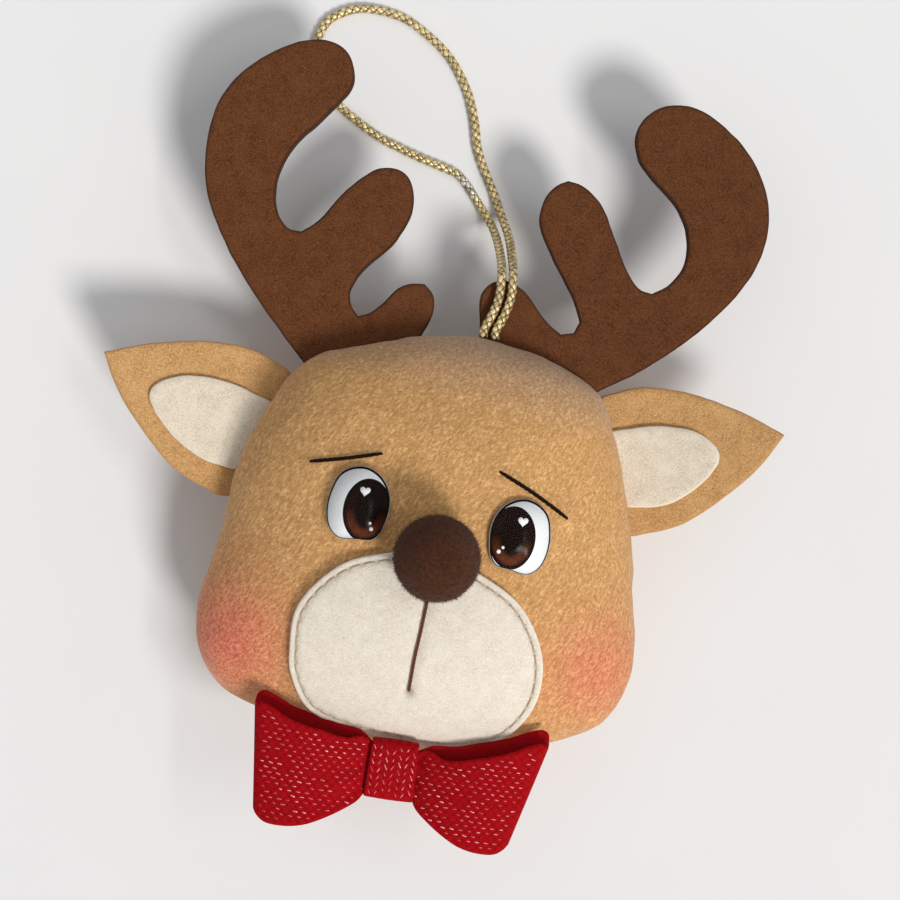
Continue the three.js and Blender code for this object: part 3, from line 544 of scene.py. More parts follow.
def craft_felt(name, colour, dark, light, edge_tone_light_and_shade, sheen=0.15, hole_shade_colour=None):
    """Flat pressed felt: fine crossed fibres, fine speckle and slow mottling, and near its edges a rim
    colour that is partly the cut felt's tone, partly painted shade on darker rims and painted highlight
    on paler ones.
    """
    felt = Finish(name, 0.95, Sheen_Weight=sheen, Sheen_Roughness=0.5, Specular_IOR_Level=0.1)
    crossed = ((0.3 * MM, 100, 6.0), (0.3 * MM, 55, 6.0), (0.34 * MM, 150, 5.0))
    lines = felt.math("MAXIMUM", *(felt.fibres(*fibres) for fibres in crossed))
    speckle = felt.noise(0.3 * MM, roughness=0.65)
    mottle = felt.noise(3.2 * MM, detail=4.0, roughness=0.6)
    layers = [
        (colour, felt.sum_of((speckle, 0.6), (mottle, 0.4)), 0.38, 0.6),
        (light, felt.math("MULTIPLY", lines, felt.ranged(speckle, 0.35, 0.65, 0.1, 0.6))),
        # Rim colour: partly the cut felt's tone, partly painted light, shade where it is darker and
        # highlight where it is paler.
        (edge_tone_light_and_shade, felt.value_of("edge_gap"), 0.05, 0.5, 0.85, 0.0),
    ]
    # Painted shade in the needle holes.
    if hole_shade_colour:
        layers.append((hole_shade_colour, felt.value_of("hole_shade")))
    felt.paint(dark, *layers)
    felt.bump(felt.sum_of((lines, 0.4), (speckle, 1.0)), 0.45, 0.12 * MM)
    return felt


def plush_felt():
    """Short nap: fine slanting flecks, blush on the cheeks, and painted shade that makes the nap greyer
    towards the top edge.
    """
    felt = Finish("plush_felt", 0.95, Sheen_Weight=0.2, Sheen_Roughness=0.4, Specular_IOR_Level=0.08)
    slant = felt.placed((0, 0, NAP_TURN), (1, 3.0, 1.4))
    flecks = felt.noise(0.42 * MM, slant, roughness=0.6, distortion=0.4)
    crossed = felt.noise(0.42 * MM, felt.placed((20, 0, NAP_TURN - 38), (1, 2.6, 1.4)), detail=2.0)
    speckle = felt.noise(0.3 * MM, detail=2.0, roughness=0.7)
    tufts = felt.noise(1.9 * MM, slant, detail=2.0)
    nap = felt.sum_of((flecks, 0.45), (crossed, 0.3), (speckle, 0.25))
    # Greyer, darker nap for the painted shade at the top edge.
    painted_top_shade = felt.layered((0.34, 0.21, 0.135), ((0.62, 0.42, 0.28), nap, 0.4, 0.62))
    blush = felt.layered((0.5, 0.1, 0.055), ((0.88, 0.31, 0.2), nap, 0.4, 0.64))
    felt.paint(
        NAP_DARK, (NAP_MIDDLE, nap, 0.4, 0.58), (NAP_LIGHT, nap, 0.54, 0.68, 0.0, 0.85),
        (NAP_DARK, tufts, 0.4, 0.66, 0.0, 0.3), (painted_top_shade, felt.value_of("painted_top_shade")),
        (blush, felt.value_of("blush")))
    felt.bump(nap, 0.7, 0.3 * MM)
    return felt


def nose_felt():
    felt = Finish("nose_felt", 0.95, Sheen_Weight=0.06, Sheen_Roughness=0.5, Specular_IOR_Level=0.1)
    lines = felt.math("MAXIMUM", felt.fibres(0.3 * MM, 20, 6.0), felt.fibres(0.34 * MM, 105, 6.0))
    speckle = felt.noise(0.6 * MM, detail=4.0, roughness=0.7)
    pale = felt.math("MULTIPLY", lines, 0.45)
    felt.paint(NOSE_DARK, (NOSE_COLOUR, speckle, 0.35, 0.65), (NOSE_LIGHT, pale))
    felt.bump(felt.math("ADD", lines, speckle), 0.4, 0.12 * MM)
    return felt


def spun_thread(name, colour, dark, light, sheen=0.1, gloss=0.25):
    yarn = Finish(name, 0.75, Sheen_Weight=sheen, Specular_IOR_Level=gloss)
    grain = yarn.noise(0.16 * MM, distortion=0.4)
    yarn.paint(dark, (colour, grain, 0.3, 0.6), (light, grain, 0.58, 0.75, 0.0, 0.6))
    yarn.bump(grain, 0.5, 0.06 * MM)
    return yarn


def gold_braid():
    """Metallic strands: each float has its tone, low places, flanks and the core get painted shade, and
    one place is silvery grey.
    """
    gold = Finish("gold_braid", 0.3, Metallic=0.55, Specular_IOR_Level=0.5)
    streak = gold.noise(0.3 * MM, roughness=0.7)
    patch = gold.noise(2.2 * MM, detail=2.0)
    tone = gold.value_of("tone")
    silvery_grey = gold.layered((0.27, 0.27, 0.25), ((0.8, 0.79, 0.74), tone))
    gold.paint(
        (0.42, 0.3, 0.12), ((1.0, 0.78, 0.4), tone), ((0.25, 0.19, 0.09), streak, 0.3, 0.5, 0.55, 0.0),
        # The palest streaks are partly the threads' own paler tone, partly painted highlight.
        ((1.0, 0.93, 0.7), streak, 0.54, 0.7), ((0.45, 0.39, 0.2), patch, 0.45, 0.75, 0.0, 0.5),
        # The dark brown on the low places, flanks and core is painted shade.
        (silvery_grey, gold.value_of("pale")), ((0.1, 0.065, 0.02), gold.value_of("gap_shade")))
    gold.rough(gold.ranged(streak, 0.3, 0.7, 0.24, 0.46))
    gold.bump(streak, 0.5, 0.06 * MM)
    return gold


# The head's surface, as the model has it

HEAD_EDGE = closed_line(np.array(HEAD_SHARES) * HEAD_HALF, 0.7 * MM)
EDGE_ANGLES = np.arctan2(HEAD_EDGE[:, 1], HEAD_EDGE[:, 0])
EDGE_RADII = lengths(HEAD_EDGE)


def edge_share(flat):
    angle = np.arctan2(flat[:, 1], flat[:, 0])
    return lengths(flat) / np.interp(angle, EDGE_ANGLES, EDGE_RADII, period=TURN)


def dome(share):
    return (1 - np.minimum(share, 1) ** FULLNESS) ** (1 / FULLNESS)


def face_z(flat):
    return SEAM_Z + FRONT_DEPTH * dome(edge_share(flat))


def face_normal(flat, step=0.15 * MM):
    slopes = []
    for axis in ((step, 0), (0, step)):
        slopes.append((face_z(flat + axis) - face_z(flat - np.array(axis))) / (2 * step))
    return unit(np.column_stack([-slopes[0], -slopes[1], np.ones(len(flat))]))


def above_face(flat, height):
    """Points a height above the felt of the face."""
    return lift(flat, face_z(flat)) + face_normal(flat) * np.broadcast_to(height, len(flat))[:, None]


# Camera, cord and its sewn-in ends

def camera():
    data = bpy.data.cameras.new("camera")
    data.sensor_width = CAMERA_SENSOR
    data.lens = CAMERA_LENS
    data.clip_start = 0.01
    view = shown("camera", data)
    view.location = CAMERA_PLACE
    view.rotation_euler = (0, 0, CAMERA_TURN)
    bpy.context.scene.camera = view


def braid(line):
    """A round braid along a line, and for each point how much painted shade it gets where it lies low,
    and how bright its float is.
    """
    side, up = frames_along(line)
    far = arc_lengths(line)
    middle = CORD_DIAMETER / 2 - STRAND_DEPTH / 2 - BRAID_WAVE
    wave = BRAID_WAVE * np.cos(2 * STRANDS_EACH_WAY * far / BRAID_PITCH * math.pi)
    corners = np.arange(6) / 6 * TURN
    cos, sin = np.cos(corners), np.sin(corners)
    chance = np.random.default_rng(SEED)
    parts, depth, tone = [], [], []
    for way in (1, -1):
        for strand in range(STRANDS_EACH_WAY):
            angle = way * TURN * far / BRAID_PITCH + strand * TURN / STRANDS_EACH_WAY
            out = side * np.cos(angle)[:, None] + up * np.sin(angle)[:, None]
            centre = line + out * (middle + way * wave)[:, None]
            flank = np.cross(unit(np.gradient(centre, axis=0)), out)
            wide, high = cos * STRAND_WIDTH / 2, sin * STRAND_DEPTH / 2
            parts.append(skin(sections_along(centre, flank, out, wide, high)))
            # Painted shade: each strand darkens where it passes under, and along its two flanks.
            low = np.clip(0.5 - way * wave / BRAID_WAVE / 2, 0, 1) ** 2 * 0.85
            low = np.maximum(low[:, None], 0.75 * (np.abs(cos) > 0.9)).ravel()
            floats = np.floor(far / BRAID_PITCH * STRANDS_EACH_WAY + strand / 2).astype(int)
            shine = np.repeat(chance.random(floats.max() + 1)[floats], len(corners))
            for values, rows in ((low, depth), (shine, tone)):
                rows.append(np.concatenate([values, values[:1], values[-1:]]))
    parts.append(skin(sections_along(line, side, up, cos * CORE_RADIUS, sin * CORE_RADIUS)))
    # The core, seen only in the gaps between strands, takes the full painted shade.
    depth.append(np.ones(len(parts[-1][0])))
    tone.append(np.zeros(len(parts[-1][0])))
    return *joined(parts), np.concatenate(depth), np.concatenate(tone)


def hanging_cord(gold):
    route = spline(np.array(CORD_ROUTE) * MM)
    start, end = route[:1] - (0, CORD_TAIL, 0), route[-1:] - (0, CORD_TAIL, 0)
    line = evenly(np.vstack([start, route, end]), BRAID_STEP)
    points, faces, depth, tone = braid(line)
    piece = gold.on(make("gold_cord", points, faces))
    write(piece, "pale", 0.85 * fading(lengths(points - SILVERY_PLACE), SILVERY_REACH, 4))
    write(piece, "gap_shade", depth)
    write(piece, "tone", tone)
    length = float(arc_lengths(line)[-1])
    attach(piece, "cord_loop")
    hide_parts("hanging_cord")
    [tuple(point) for point in evenly(line, 2 * MM)]


def cord_ends(gold):
    """The two sewn-in ends inside the head, and the knot that they run into."""
    low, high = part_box("cord_knot")
    knot = np.array([(low[0] + high[0]) / 2, low[1] + KNOT_DEPTH, (low[2] + high[2]) / 2])
    turn = np.linspace(0, TURN, 60, endpoint=False)
    trefoil = np.column_stack([
        np.sin(turn) + 2 * np.sin(2 * turn), np.cos(turn) - 2 * np.cos(2 * turn), -np.sin(3 * turn)])
    lines = [knot + trefoil * KNOT_RADIUS]
    for point in (CORD_ROUTE[0], CORD_ROUTE[-1]):
        top = np.array(point) * MM - (0, END_DROP, 0)
        lines.append(evenly(np.array([top, (top[0], knot[1] + 1.5 * MM, top[2])]), BRAID_STEP))
    parts = [braid(line) for line in lines]
    points, faces = joined([part[:2] for part in parts])
    piece = gold.on(make("cord_ends", points, faces))
    write(piece, "pale", np.zeros(len(points)))
    for index, name in ((2, "gap_shade"), (3, "tone")):
        write(piece, name, np.concatenate([part[index] for part in parts]))
    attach(piece, "head")
    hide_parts("cord_knot")


# Head

SWELL_LEAST, SWELL_MOST = -0.5 * MM, 1.2 * MM
SWELL_VOXEL = 3.2 * MM
SWELL_SEAM = 0.8 * SWELL_VOXEL
SWELL_BACK = 1.5 * MM
SWELL_FRAMES = 20
SWELL_QUALITY = 6
SWELL_PRESSURE = 4
SWELL_REACH = 8 * MM
SHRINK = 0.985
HEAD_RINGS = 84
BACK_Z = 0.06 * MM
CHEEKS = ((-32, -22, 12.5, 0.98), (36.5, -17, 11, 0.7))
HEAD_LUMPS = ((0.42 * MM, 15 * MM, 1), (0.16 * MM, 5 * MM, 2))
SEAM_GROOVE, SEAM_GROOVE_WIDTH = 0.95 * MM, 0.9 * MM
PUCKER, PUCKER_SIZE, PUCKER_REACH = 0.3 * MM, 2.6 * MM, 3.2 * MM
COVERED_RELIEF, EASED_RELIEF = 0.12 * MM, 2 * MM
LEAST_HEIGHT = 0.05 * MM
BACK_EASE = 4 * MM
# Painted shade: where and how strongly the nap turns greyer towards the head's top edge.
TOP_SHADE_FROM, TOP_SHADE_OVER, TOP_SHADE_MOST = 27, 13, 0.85


def swollen(head):
    """The head's points moved out to where air under pressure brings a slightly smaller copy of it."""
    copy = shown("swell", head.data.copy())
    middle = Vector((0, 0, SEAM_Z))
    for vertex in copy.data.vertices:
        vertex.co = middle + (vertex.co - middle) * SHRINK
    remesh = copy.modifiers.new("remesh", "REMESH")
    remesh.mode = "VOXEL"
    remesh.voxel_size = SWELL_VOXEL
    depsgraph = bpy.context.evaluated_depsgraph_get()
    coarse = bpy.data.meshes.new_from_object(copy.evaluated_get(depsgraph))
    copy.modifiers.clear()
    copy.data = coarse
    held = copy.vertex_groups.new(name="held")
    for vertex in coarse.vertices:
        if abs(vertex.co.z - SEAM_Z) < SWELL_SEAM or vertex.co.z < SWELL_BACK:
            held.add([vertex.index], 1.0, "REPLACE")
    cloth = copy.modifiers.new("cloth", "CLOTH")
    cloth.settings.use_pressure = True
    cloth.settings.uniform_pressure_force = SWELL_PRESSURE
    cloth.settings.effector_weights.gravity = 0
    cloth.settings.vertex_group_mass = "held"
    cloth.settings.quality = SWELL_QUALITY
    cloth.point_cache.frame_start, cloth.point_cache.frame_end = 1, SWELL_FRAMES
    for step in range(1, SWELL_FRAMES + 1):
        bpy.context.scene.frame_set(step)
    depsgraph = bpy.context.evaluated_depsgraph_get()
    tree = BVHTree.FromObject(copy, depsgraph)
    moved = np.zeros(len(head.data.vertices))
    for vertex in head.data.vertices:
        start = vertex.co + vertex.normal * SWELL_REACH
        hit, _, _, distance = tree.ray_cast(start, -vertex.normal, 2.5 * SWELL_REACH)
        if hit is not None:
            moved[vertex.index] = SWELL_REACH - distance
    bpy.data.objects.remove(copy)
    bpy.context.scene.frame_set(1)
    return np.clip(moved, SWELL_LEAST, SWELL_MOST)


def head_shell():
    """The two felt panels as one dense closed form that meets at the seam."""
    angle = TURN / 4 * np.arange(1, HEAD_RINGS + 1) / HEAD_RINGS
    shares = np.sin(angle) ** (2 / FULLNESS)
    rows = [lift(HEAD_EDGE * share, SEAM_Z + FRONT_DEPTH * dome(share)) for share in shares]
    for share in shares[-2::-1]:
        depth = (BACK_DEPTH + REST_CUT) * dome(share)
        rows.append(lift(HEAD_EDGE * share, max(SEAM_Z - depth, BACK_Z)))
    points, faces = skin(np.stack(rows))
    points[-2] = (0, 0, SEAM_Z + FRONT_DEPTH)
    points[-1] = (0, 0, BACK_Z)
    return points, faces


def head_relief(points):
    """How far the felt stands out: slow and quick unevenness, the seam's groove and its puckers."""
    from_seam = np.abs(points[:, 2] - SEAM_Z)
    turn = np.arctan2(points[:, 1], points[:, 0])
    round_head = np.column_stack([np.cos(turn), np.sin(turn), 0 * turn]) * HEAD_HALF[0]
    relief = sum(height * wobble(points, size, seed) for height, size, seed in HEAD_LUMPS)
    relief -= SEAM_GROOVE * fading(from_seam, SEAM_GROOVE_WIDTH)
    return relief + PUCKER * wobble(round_head, PUCKER_SIZE, 5) * fading(from_seam, PUCKER_REACH, 1)


def held_down(move, points, covers):
    """The relief kept low under what lies on the face, and eased round it."""
    front, flat = points[:, 2] > SEAM_Z, points[:, :2]
    for loop, ease in covers:
        free = np.ones(len(points))
        close = front & (np.abs(flat - loop.mean(axis=0)).max(axis=1) < np.ptp(loop, axis=0).max())
        gap = distance_to(loop, flat[close])
        gap[inside(loop, flat[close])] = 0
        free[close] = ramp(gap, 0, ease)
        low = np.minimum(move, COVERED_RELIEF + free * EASED_RELIEF) * free + LEAST_HEIGHT * (1 - free)
        move = np.where(front, low, move)
    return move


def head(felt, covers):
    points, faces = head_shell()
    piece = make("head", points, faces)
    normals = np.empty(points.size)
    piece.data.vertices.foreach_get("normal", normals)
    move = head_relief(points)
    move += swollen(piece)
    move = held_down(move, points, covers) * ramp(points[:, 2], 2 * LEAST_HEIGHT, BACK_EASE)
    moved = points + normals.reshape(-1, 3) * move[:, None]
    moved[:, 2] = np.maximum(moved[:, 2], LEAST_HEIGHT)
    piece.data.vertices.foreach_set("co", moved.ravel())
    piece.data.update()
    blush = np.zeros(len(points))
    for x, y, reach, most in CHEEKS:
        blush += most * fading(lengths(points[:, :2] - np.array([x, y]) * MM), reach * MM)
    write(piece, "blush", np.clip(blush * (points[:, 2] > SEAM_Z), 0, 1))
    # Painted shade over the upper head, growing towards its top edge.
    upward = points[:, 1] / MM + 0.12 * points[:, 0] / MM
    write(piece, "painted_top_shade", ramp(upward, TOP_SHADE_FROM, TOP_SHADE_OVER) * TOP_SHADE_MOST)
    felt.on(piece)
    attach(piece, "head")
    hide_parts("head_front", "head_back", "stuffing")


# Antlers and ears

EDGE_STEP = 0.7 * MM
EDGE_WAVE, EDGE_WAVE_SIZE = 0.09 * MM, 2.3 * MM
RIGHT_LINING_TRIM, TRIM_REACH = 1.6 * MM, 9 * MM


def felt_layer(name, node, felt, bend, trim=0.0):
    """A model sheet again as soft-edged felt, warped by bend(flat) and cut back at a tip to the right."""
    low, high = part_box(node)
    loop = smoothed(rim_of(node)[:, :2], EDGE_STEP)
    loop += EDGE_WAVE * np.column_stack([wobble(lift(loop), EDGE_WAVE_SIZE, seed) for seed in (21, 22)])
    loop[:, 0] -= trim * (1 - ramp(loop[:, 0].max() - loop[:, 0], 0, TRIM_REACH))

    def place(flat, height):
        return lift(flat, low[2] + height + bend(flat))

    piece = felt.on(plate(name, loop, place, high[2] - low[2]))
    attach(piece, "head")
    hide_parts(node)
    area_of(loop)
    return piece


def bent(flat, middle, start, run, most, rise, ripple, size, seed):
    """How far felt bends up away from its root, with a slow ripple."""
    out = np.clip((np.abs(flat[:, 0] - middle) - start) / run, 0, most)
    return rise * out ** 1.4 + ripple * out * wobble(lift(flat), size, seed)


def antler_bend(flat):
    return bent(flat, middle=2 * MM, start=14 * MM, run=36 * MM, most=1.1, rise=3 * MM,
                ripple=0.4 * MM, size=22 * MM, seed=11)


def ear_bend(flat):
    return bent(flat, middle=0.0, start=36 * MM, run=26 * MM, most=1.2, rise=4 * MM,
                ripple=0.3 * MM, size=9 * MM, seed=12)


def antlers():
    # The near-black rim colour here is mostly painted shade.
    felt = craft_felt("antler_felt", CHOCOLATE, (0.062, 0.019, 0.006), (0.21, 0.083, 0.034),
                      (0.03, 0.01, 0.004), sheen=0.08)
    for side in ("left", "right"):
        for layer in ("front", "back"):
            piece = felt_layer(f"{side}_antler_felt_{layer}", f"{side}_antler_{layer}", felt, antler_bend)


def ears():
    outer = craft_felt("ear_felt", CARAMEL, (0.38, 0.18, 0.055), (0.82, 0.55, 0.28),
                       (0.5, 0.26, 0.1), sheen=0.12)
    inner = craft_felt("inner_ear_felt", CREAM, (0.62, 0.51, 0.38), (0.92, 0.86, 0.75),
                       (0.86, 0.78, 0.65))
    for side in ("left", "right"):
        leaf = felt_layer(f"{side}_ear_leaf", f"{side}_ear_outer", outer, ear_bend)
        lining = felt_layer(f"{side}_ear_lining", f"{side}_ear_inner", inner, ear_bend,
                            trim=RIGHT_LINING_TRIM * (side == "right"))


# Muzzle, its stitching and the mouth

MUZZLE_EDGE = closed_line(np.array(MUZZLE_SHARES) * MUZZLE_HALF + MUZZLE_MIDDLE, 0.6 * MM)
STITCH_LINE = evenly(inset(MUZZLE_EDGE, STITCH_INSET), 0.3 * MM, closed=True)
MOUTH_LINE = spline(np.array(MOUTH_SHARES) * MUZZLE_HALF + MUZZLE_MIDDLE)
MOUTH_END = MOUTH_LINE[-1]


def muzzle_height(flat):
    """The top of the muzzle felt above the face: crowned, and sunk along the stitching."""
    out = lengths((flat - MUZZLE_MIDDLE) / MUZZLE_HALF)
    groove = fading(distance_to(STITCH_LINE, flat), GROOVE_WIDTH)
    crown = MUZZLE_CROWN * (1 - np.minimum(out, 1) ** 2)
    return MUZZLE_GAP + MUZZLE_THICKNESS + crown - GROOVE_DEPTH * groove


def stitch_runs(count=15):
    """The flat middle line of each stitch, as so many points."""
    closed = np.vstack([STITCH_LINE, STITCH_LINE[:1]])
    far = arc_lengths(closed)
    stitches = round(far[-1] / STITCH_PITCH)
    for stitch in range(stitches):
        middle = (stitch + 0.5) * far[-1] / stitches
        spots = np.linspace(middle - STITCH_LENGTH / 2, middle + STITCH_LENGTH / 2, count)
        yield np.stack([np.interp(spots, far, column) for column in closed.T], axis=1)


def muzzle():
    # The paler rim colour here is mostly painted highlight.
    felt = craft_felt("muzzle_felt", (0.82, 0.74, 0.62), (0.68, 0.59, 0.47), (0.95, 0.9, 0.82),
                      (0.93, 0.88, 0.8), hole_shade_colour=(0.25, 0.18, 0.11))

    def place(flat, height):
        share = np.clip(height / MUZZLE_THICKNESS, 0, 1.2)
        pinch = MOUTH_PINCH * fading(distance_to(MOUTH_LINE, flat), MOUTH_PINCH_REACH)
        pinch += MOUTH_DIMPLE * fading(lengths(flat - MOUTH_END), MOUTH_DIMPLE_REACH)
        rise = (muzzle_height(flat) - MUZZLE_GAP) * share
        return above_face(flat, MUZZLE_GAP + rise - pinch * (share > 0.6))

    # Painted shade in the needle holes at each stitch's ends and where the mouth stitch goes in.
    def shade_in_holes(flat):
        ends = np.concatenate([run[[0, -1]] for run in stitch_runs()])
        needle_shade = 0.85 * fading(distance_to(ends, flat), NEEDLE_HOLE)
        return needle_shade + 0.8 * fading(lengths(flat - MOUTH_END), MOUTH_HOLE)

    piece = felt.on(plate("muzzle", MUZZLE_EDGE, place, MUZZLE_THICKNESS, grid=MUZZLE_GRID, shade_in_holes=shade_in_holes))
    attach(piece, "head")
    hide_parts("muzzle_patch")
    area_of(MUZZLE_EDGE) * MUZZLE_LARGER


def muzzle_stitches():
    beige = spun_thread("beige_thread", (0.54, 0.43, 0.3), (0.3, 0.22, 0.14), (0.78, 0.68, 0.53))
    parts = []
    for flat in stitch_runs():
        arch = 1 - np.linspace(-1, 1, len(flat)) ** 4
        line = above_face(flat, muzzle_height(flat) + STITCH_ENDS + STITCH_ARCH * arch)
        parts.append(thread(line, STITCH_RADIUS, plies=2, lay=1.1 * MM, sides=10, taper=0.35 * MM))
    stitches = beige.on(make("muzzle_stitches", *joined(parts)))
    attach(stitches, "head")
    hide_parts("muzzle_stitching")


def mouth():
    """One long stitch whose lower end goes into the felt."""
    brown = spun_thread("brown_thread", (0.13, 0.026, 0.015), (0.05, 0.01, 0.006), (0.34, 0.1, 0.06))
    flat = evenly(MOUTH_LINE, 0.2 * MM)
    share = np.linspace(0, 1, len(flat))
    sink = MOUTH_SINK * ramp(share, MOUTH_SINK_START, MOUTH_SINK_RUN) ** 2
    line = above_face(flat, muzzle_height(flat) + MOUTH_RADIUS * 0.25 - sink)
    stitch = brown.on(make("mouth", *thread(line, MOUTH_RADIUS, plies=3, lay=2.6 * MM)))
    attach(stitch, "head")
    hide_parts("mouth_stitch")


# Nose

NOSE_RADIUS = 7.5 * MM
NOSE_HEIGHT = 49.75 * MM
NOSE_SINK = 0.1 * MM
FIBRE_ROOM = 0.08 * MM
NOSE_LUMPS = ((0.14 * MM, 2.3, (0, 0, 0)), (0.05 * MM, 6, (4, 1, 2)), (0.04 * MM, 15, (0, 0, 0)))
FIBRE_COUNT = 6400
FIBRE_LENGTH = 0.42 * MM
FIBRE_RADIUS = 0.024 * MM
FIBRE_LEAN = 0.7


def fuzz(piece):
    """Short fibres that stand out of a piece's faces, as points and faces of thin closed spindles."""
    count, chance = FIBRE_COUNT, np.random.default_rng(SEED)
    mesh = piece.data
    mesh.calc_loop_triangles()
    triangles = np.array([face.vertices for face in mesh.loop_triangles])
    points = np.array([vertex.co for vertex in mesh.vertices])
    a, b, c = (points[triangles[:, corner]] for corner in range(3))
    cross = np.cross(b - a, c - a)
    size = lengths(cross)
    chosen = chance.choice(len(triangles), count, p=size / size.sum())
    u, v = chance.random(count), chance.random(count)
    flip = u + v > 1
    u[flip], v[flip] = 1 - u[flip], 1 - v[flip]
    root = a[chosen] + (b - a)[chosen] * u[:, None] + (c - a)[chosen] * v[:, None]
    normal = cross[chosen] / size[chosen][:, None]
    aim = normal + FIBRE_LEAN * chance.normal(size=(count, 3))
    aim = unit(aim - normal * np.minimum((aim * normal).sum(axis=1) - 0.15, 0)[:, None])
    reach = FIBRE_LENGTH * (0.5 + chance.random(count))[:, None]
    across = unit(np.cross(aim, normal + 0.01))
    other = np.cross(aim, across)
    bend = across * chance.normal(size=(count, 1)) + other * chance.normal(size=(count, 1))
    middle = root + aim * reach * 0.5 + bend * reach * 0.2
    corners = [middle + FIBRE_RADIUS * (across * math.cos(turn) + other * math.sin(turn))
               for turn in (0, TURN / 3, 2 * TURN / 3)]
    own = np.stack([root - normal * FIBRE_RADIUS, *corners, root + aim * reach], axis=1).reshape(-1, 3)
    faces = []
    for start in range(0, 5 * count, 5):
        for near, far in ((1, 2), (2, 3), (3, 1)):
            faces.append((start, start + far, start + near))
            faces.append((start + 4, start + near, start + far))
    return own, faces


def under_nose(flat):
    """The height of what the ball is glued on: the muzzle felt, or the face beyond its edge."""
    return face_z(flat) + np.where(inside(MUZZLE_EDGE, flat), muzzle_height(flat), COVERED_RELIEF)


def nose():
    low, high = np.array(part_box("nose_ball"))
    middle = np.append((low[:2] + high[:2]) / 2, NOSE_HEIGHT)
    work = bmesh.new()
    bmesh.ops.create_icosphere(work, subdivisions=6, radius=NOSE_RADIUS)
    shape = bpy.data.meshes.new("nose")
    work.to_mesh(shape)
    work.free()
    points = []
    for vertex in shape.vertices:
        out = vertex.co.normalized()
        lumps = sum(most * noise.noise(out * scale + Vector(shift)) for most, scale, shift in NOSE_LUMPS)
        points.append(np.array(out) * (NOSE_RADIUS - FIBRE_ROOM + lumps) + middle)
    points = np.array(points)
    points[:, 2] = np.maximum(points[:, 2], under_nose(points[:, :2]) - NOSE_SINK)
    shape.vertices.foreach_set("co", points.ravel())
    shape.shade_smooth()
    felt = nose_felt()
    piece = felt.on(shown("nose", shape))
    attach(piece, "head")
    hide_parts("nose_ball")
    hairs = felt.on(make("nose_fibres", *fuzz(piece)))
    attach(hairs, "head")


# Eyes

BROW_RADIUS = 0.36 * MM
BROW_LIFT, BROW_ARCH, BROW_DIP = 0.2 * MM, 0.08 * MM, 0.5 * MM
BROWS = {
    "left": evenly(spline(np.array([[-21.3, 12.8], [-14.8, 14.4], [-8.4, 16.3]]) * MM), 0.2 * MM),
    "right": evenly(spline(np.array([[12.3, 16.4], [19.3, 13.3], [26, 9.8]]) * MM), 0.2 * MM),
}
IRIS_HALF = np.array([4.25, 5.6]) * MM
IRIS_PLACES = {"left": (-9.6, 6.05), "right": (16.45, 5.2)}
EYE_LIGHTS = {
    "left": ((-10.4, 9.3, 2.0, "heart"), (-8.65, 3.9, 0.5, "dot"), (-8.3, 2.9, 0.7, "dot")),
    "right": ((17.9, 8.3, 2.0, "heart"), (15.05, 3.3, 0.55, "dot"), (14.4, 2.5, 0.75, "dot")),
}
PRINT = 0.03 * MM
OUTLINE = 0.34 * MM
DOME_WALL = 0.3 * MM
DOME_BASE = 2.5 * PRINT


def eye_finish(name, colour, speck):
    finish = Finish(name, 0.7, Specular_IOR_Level=0.02)
    finish.paint(colour, (speck, finish.noise(0.5 * MM, detail=2.0), 0.35, 0.65))
    return finish


def iris_print():
    """A near-black print with a reddish brown glow where its attribute says."""
    finish = Finish("eye_iris", 0.7, Specular_IOR_Level=0.02)
    glow = finish.layered((0.1, 0.024, 0.01), ((0.16, 0.045, 0.018), finish.noise(0.5 * MM), 0.35, 0.65))
    finish.paint((0.008, 0.004, 0.003), (glow, finish.value_of("glow")))
    return finish


def clear_plastic():
    """A clear shell: light passes through, and its outer face has a weak gloss."""
    clear = Finish("clear_dome", 0.04, Metallic=1.0, Base_Color=(1, 1, 1))
    clear.rough(clear.ranged(clear.noise(3 * MM, detail=2.0), 0.3, 0.7, 0.17, 0.23))
    through = clear.node("ShaderNodeBsdfTransparent").outputs[0]
    gloss = clear.node("ShaderNodeFresnel", {"IOR": 1.13}).outputs[0]
    outer = clear.math("SUBTRACT", 1.0, clear.node("ShaderNodeNewGeometry").outputs["Backfacing"])
    shares = {0: clear.math("MULTIPLY", gloss, outer), 1: through, 2: clear.shader.outputs[0]}
    mix = clear.node("ShaderNodeMixShader", shares)
    clear.feed(clear.tree.nodes["Material Output"].inputs["Surface"], mix.outputs[0])
    return clear


def slab(loop, low, high):
    """A flat plate between two heights in its own frame, over one dense loop."""
    return skin(np.stack([lift(loop, low), lift(loop, high)]))


def heart(size):
    turn = np.linspace(0, TURN, 60, endpoint=False)
    x = 16 * np.sin(turn) ** 3
    y = 13 * np.cos(turn) - 5 * np.cos(2 * turn) - 2 * np.cos(3 * turn) - np.cos(4 * turn)
    return np.column_stack([x, y])[::-1] / 17 * size / 2


def ellipse(half, middle=(0, 0), count=72):
    turn = np.linspace(0, TURN, count, endpoint=False)
    return np.column_stack([np.cos(turn) * half[0] + middle[0], np.sin(turn) * half[1] + middle[1]])


def drawn_in(flat, loop, middle):
    """Places moved towards a middle where they lie outside a loop."""
    edge, out = loop - middle, flat - middle
    angles = np.arctan2(edge[:, 1], edge[:, 0])
    order = np.argsort(angles)
    turn = np.arctan2(out[:, 1], out[:, 0])
    reach = np.interp(turn, angles[order], lengths(edge)[order], period=TURN)
    return middle + out * np.minimum(1, reach / np.maximum(lengths(out), 1e-9))[:, None]


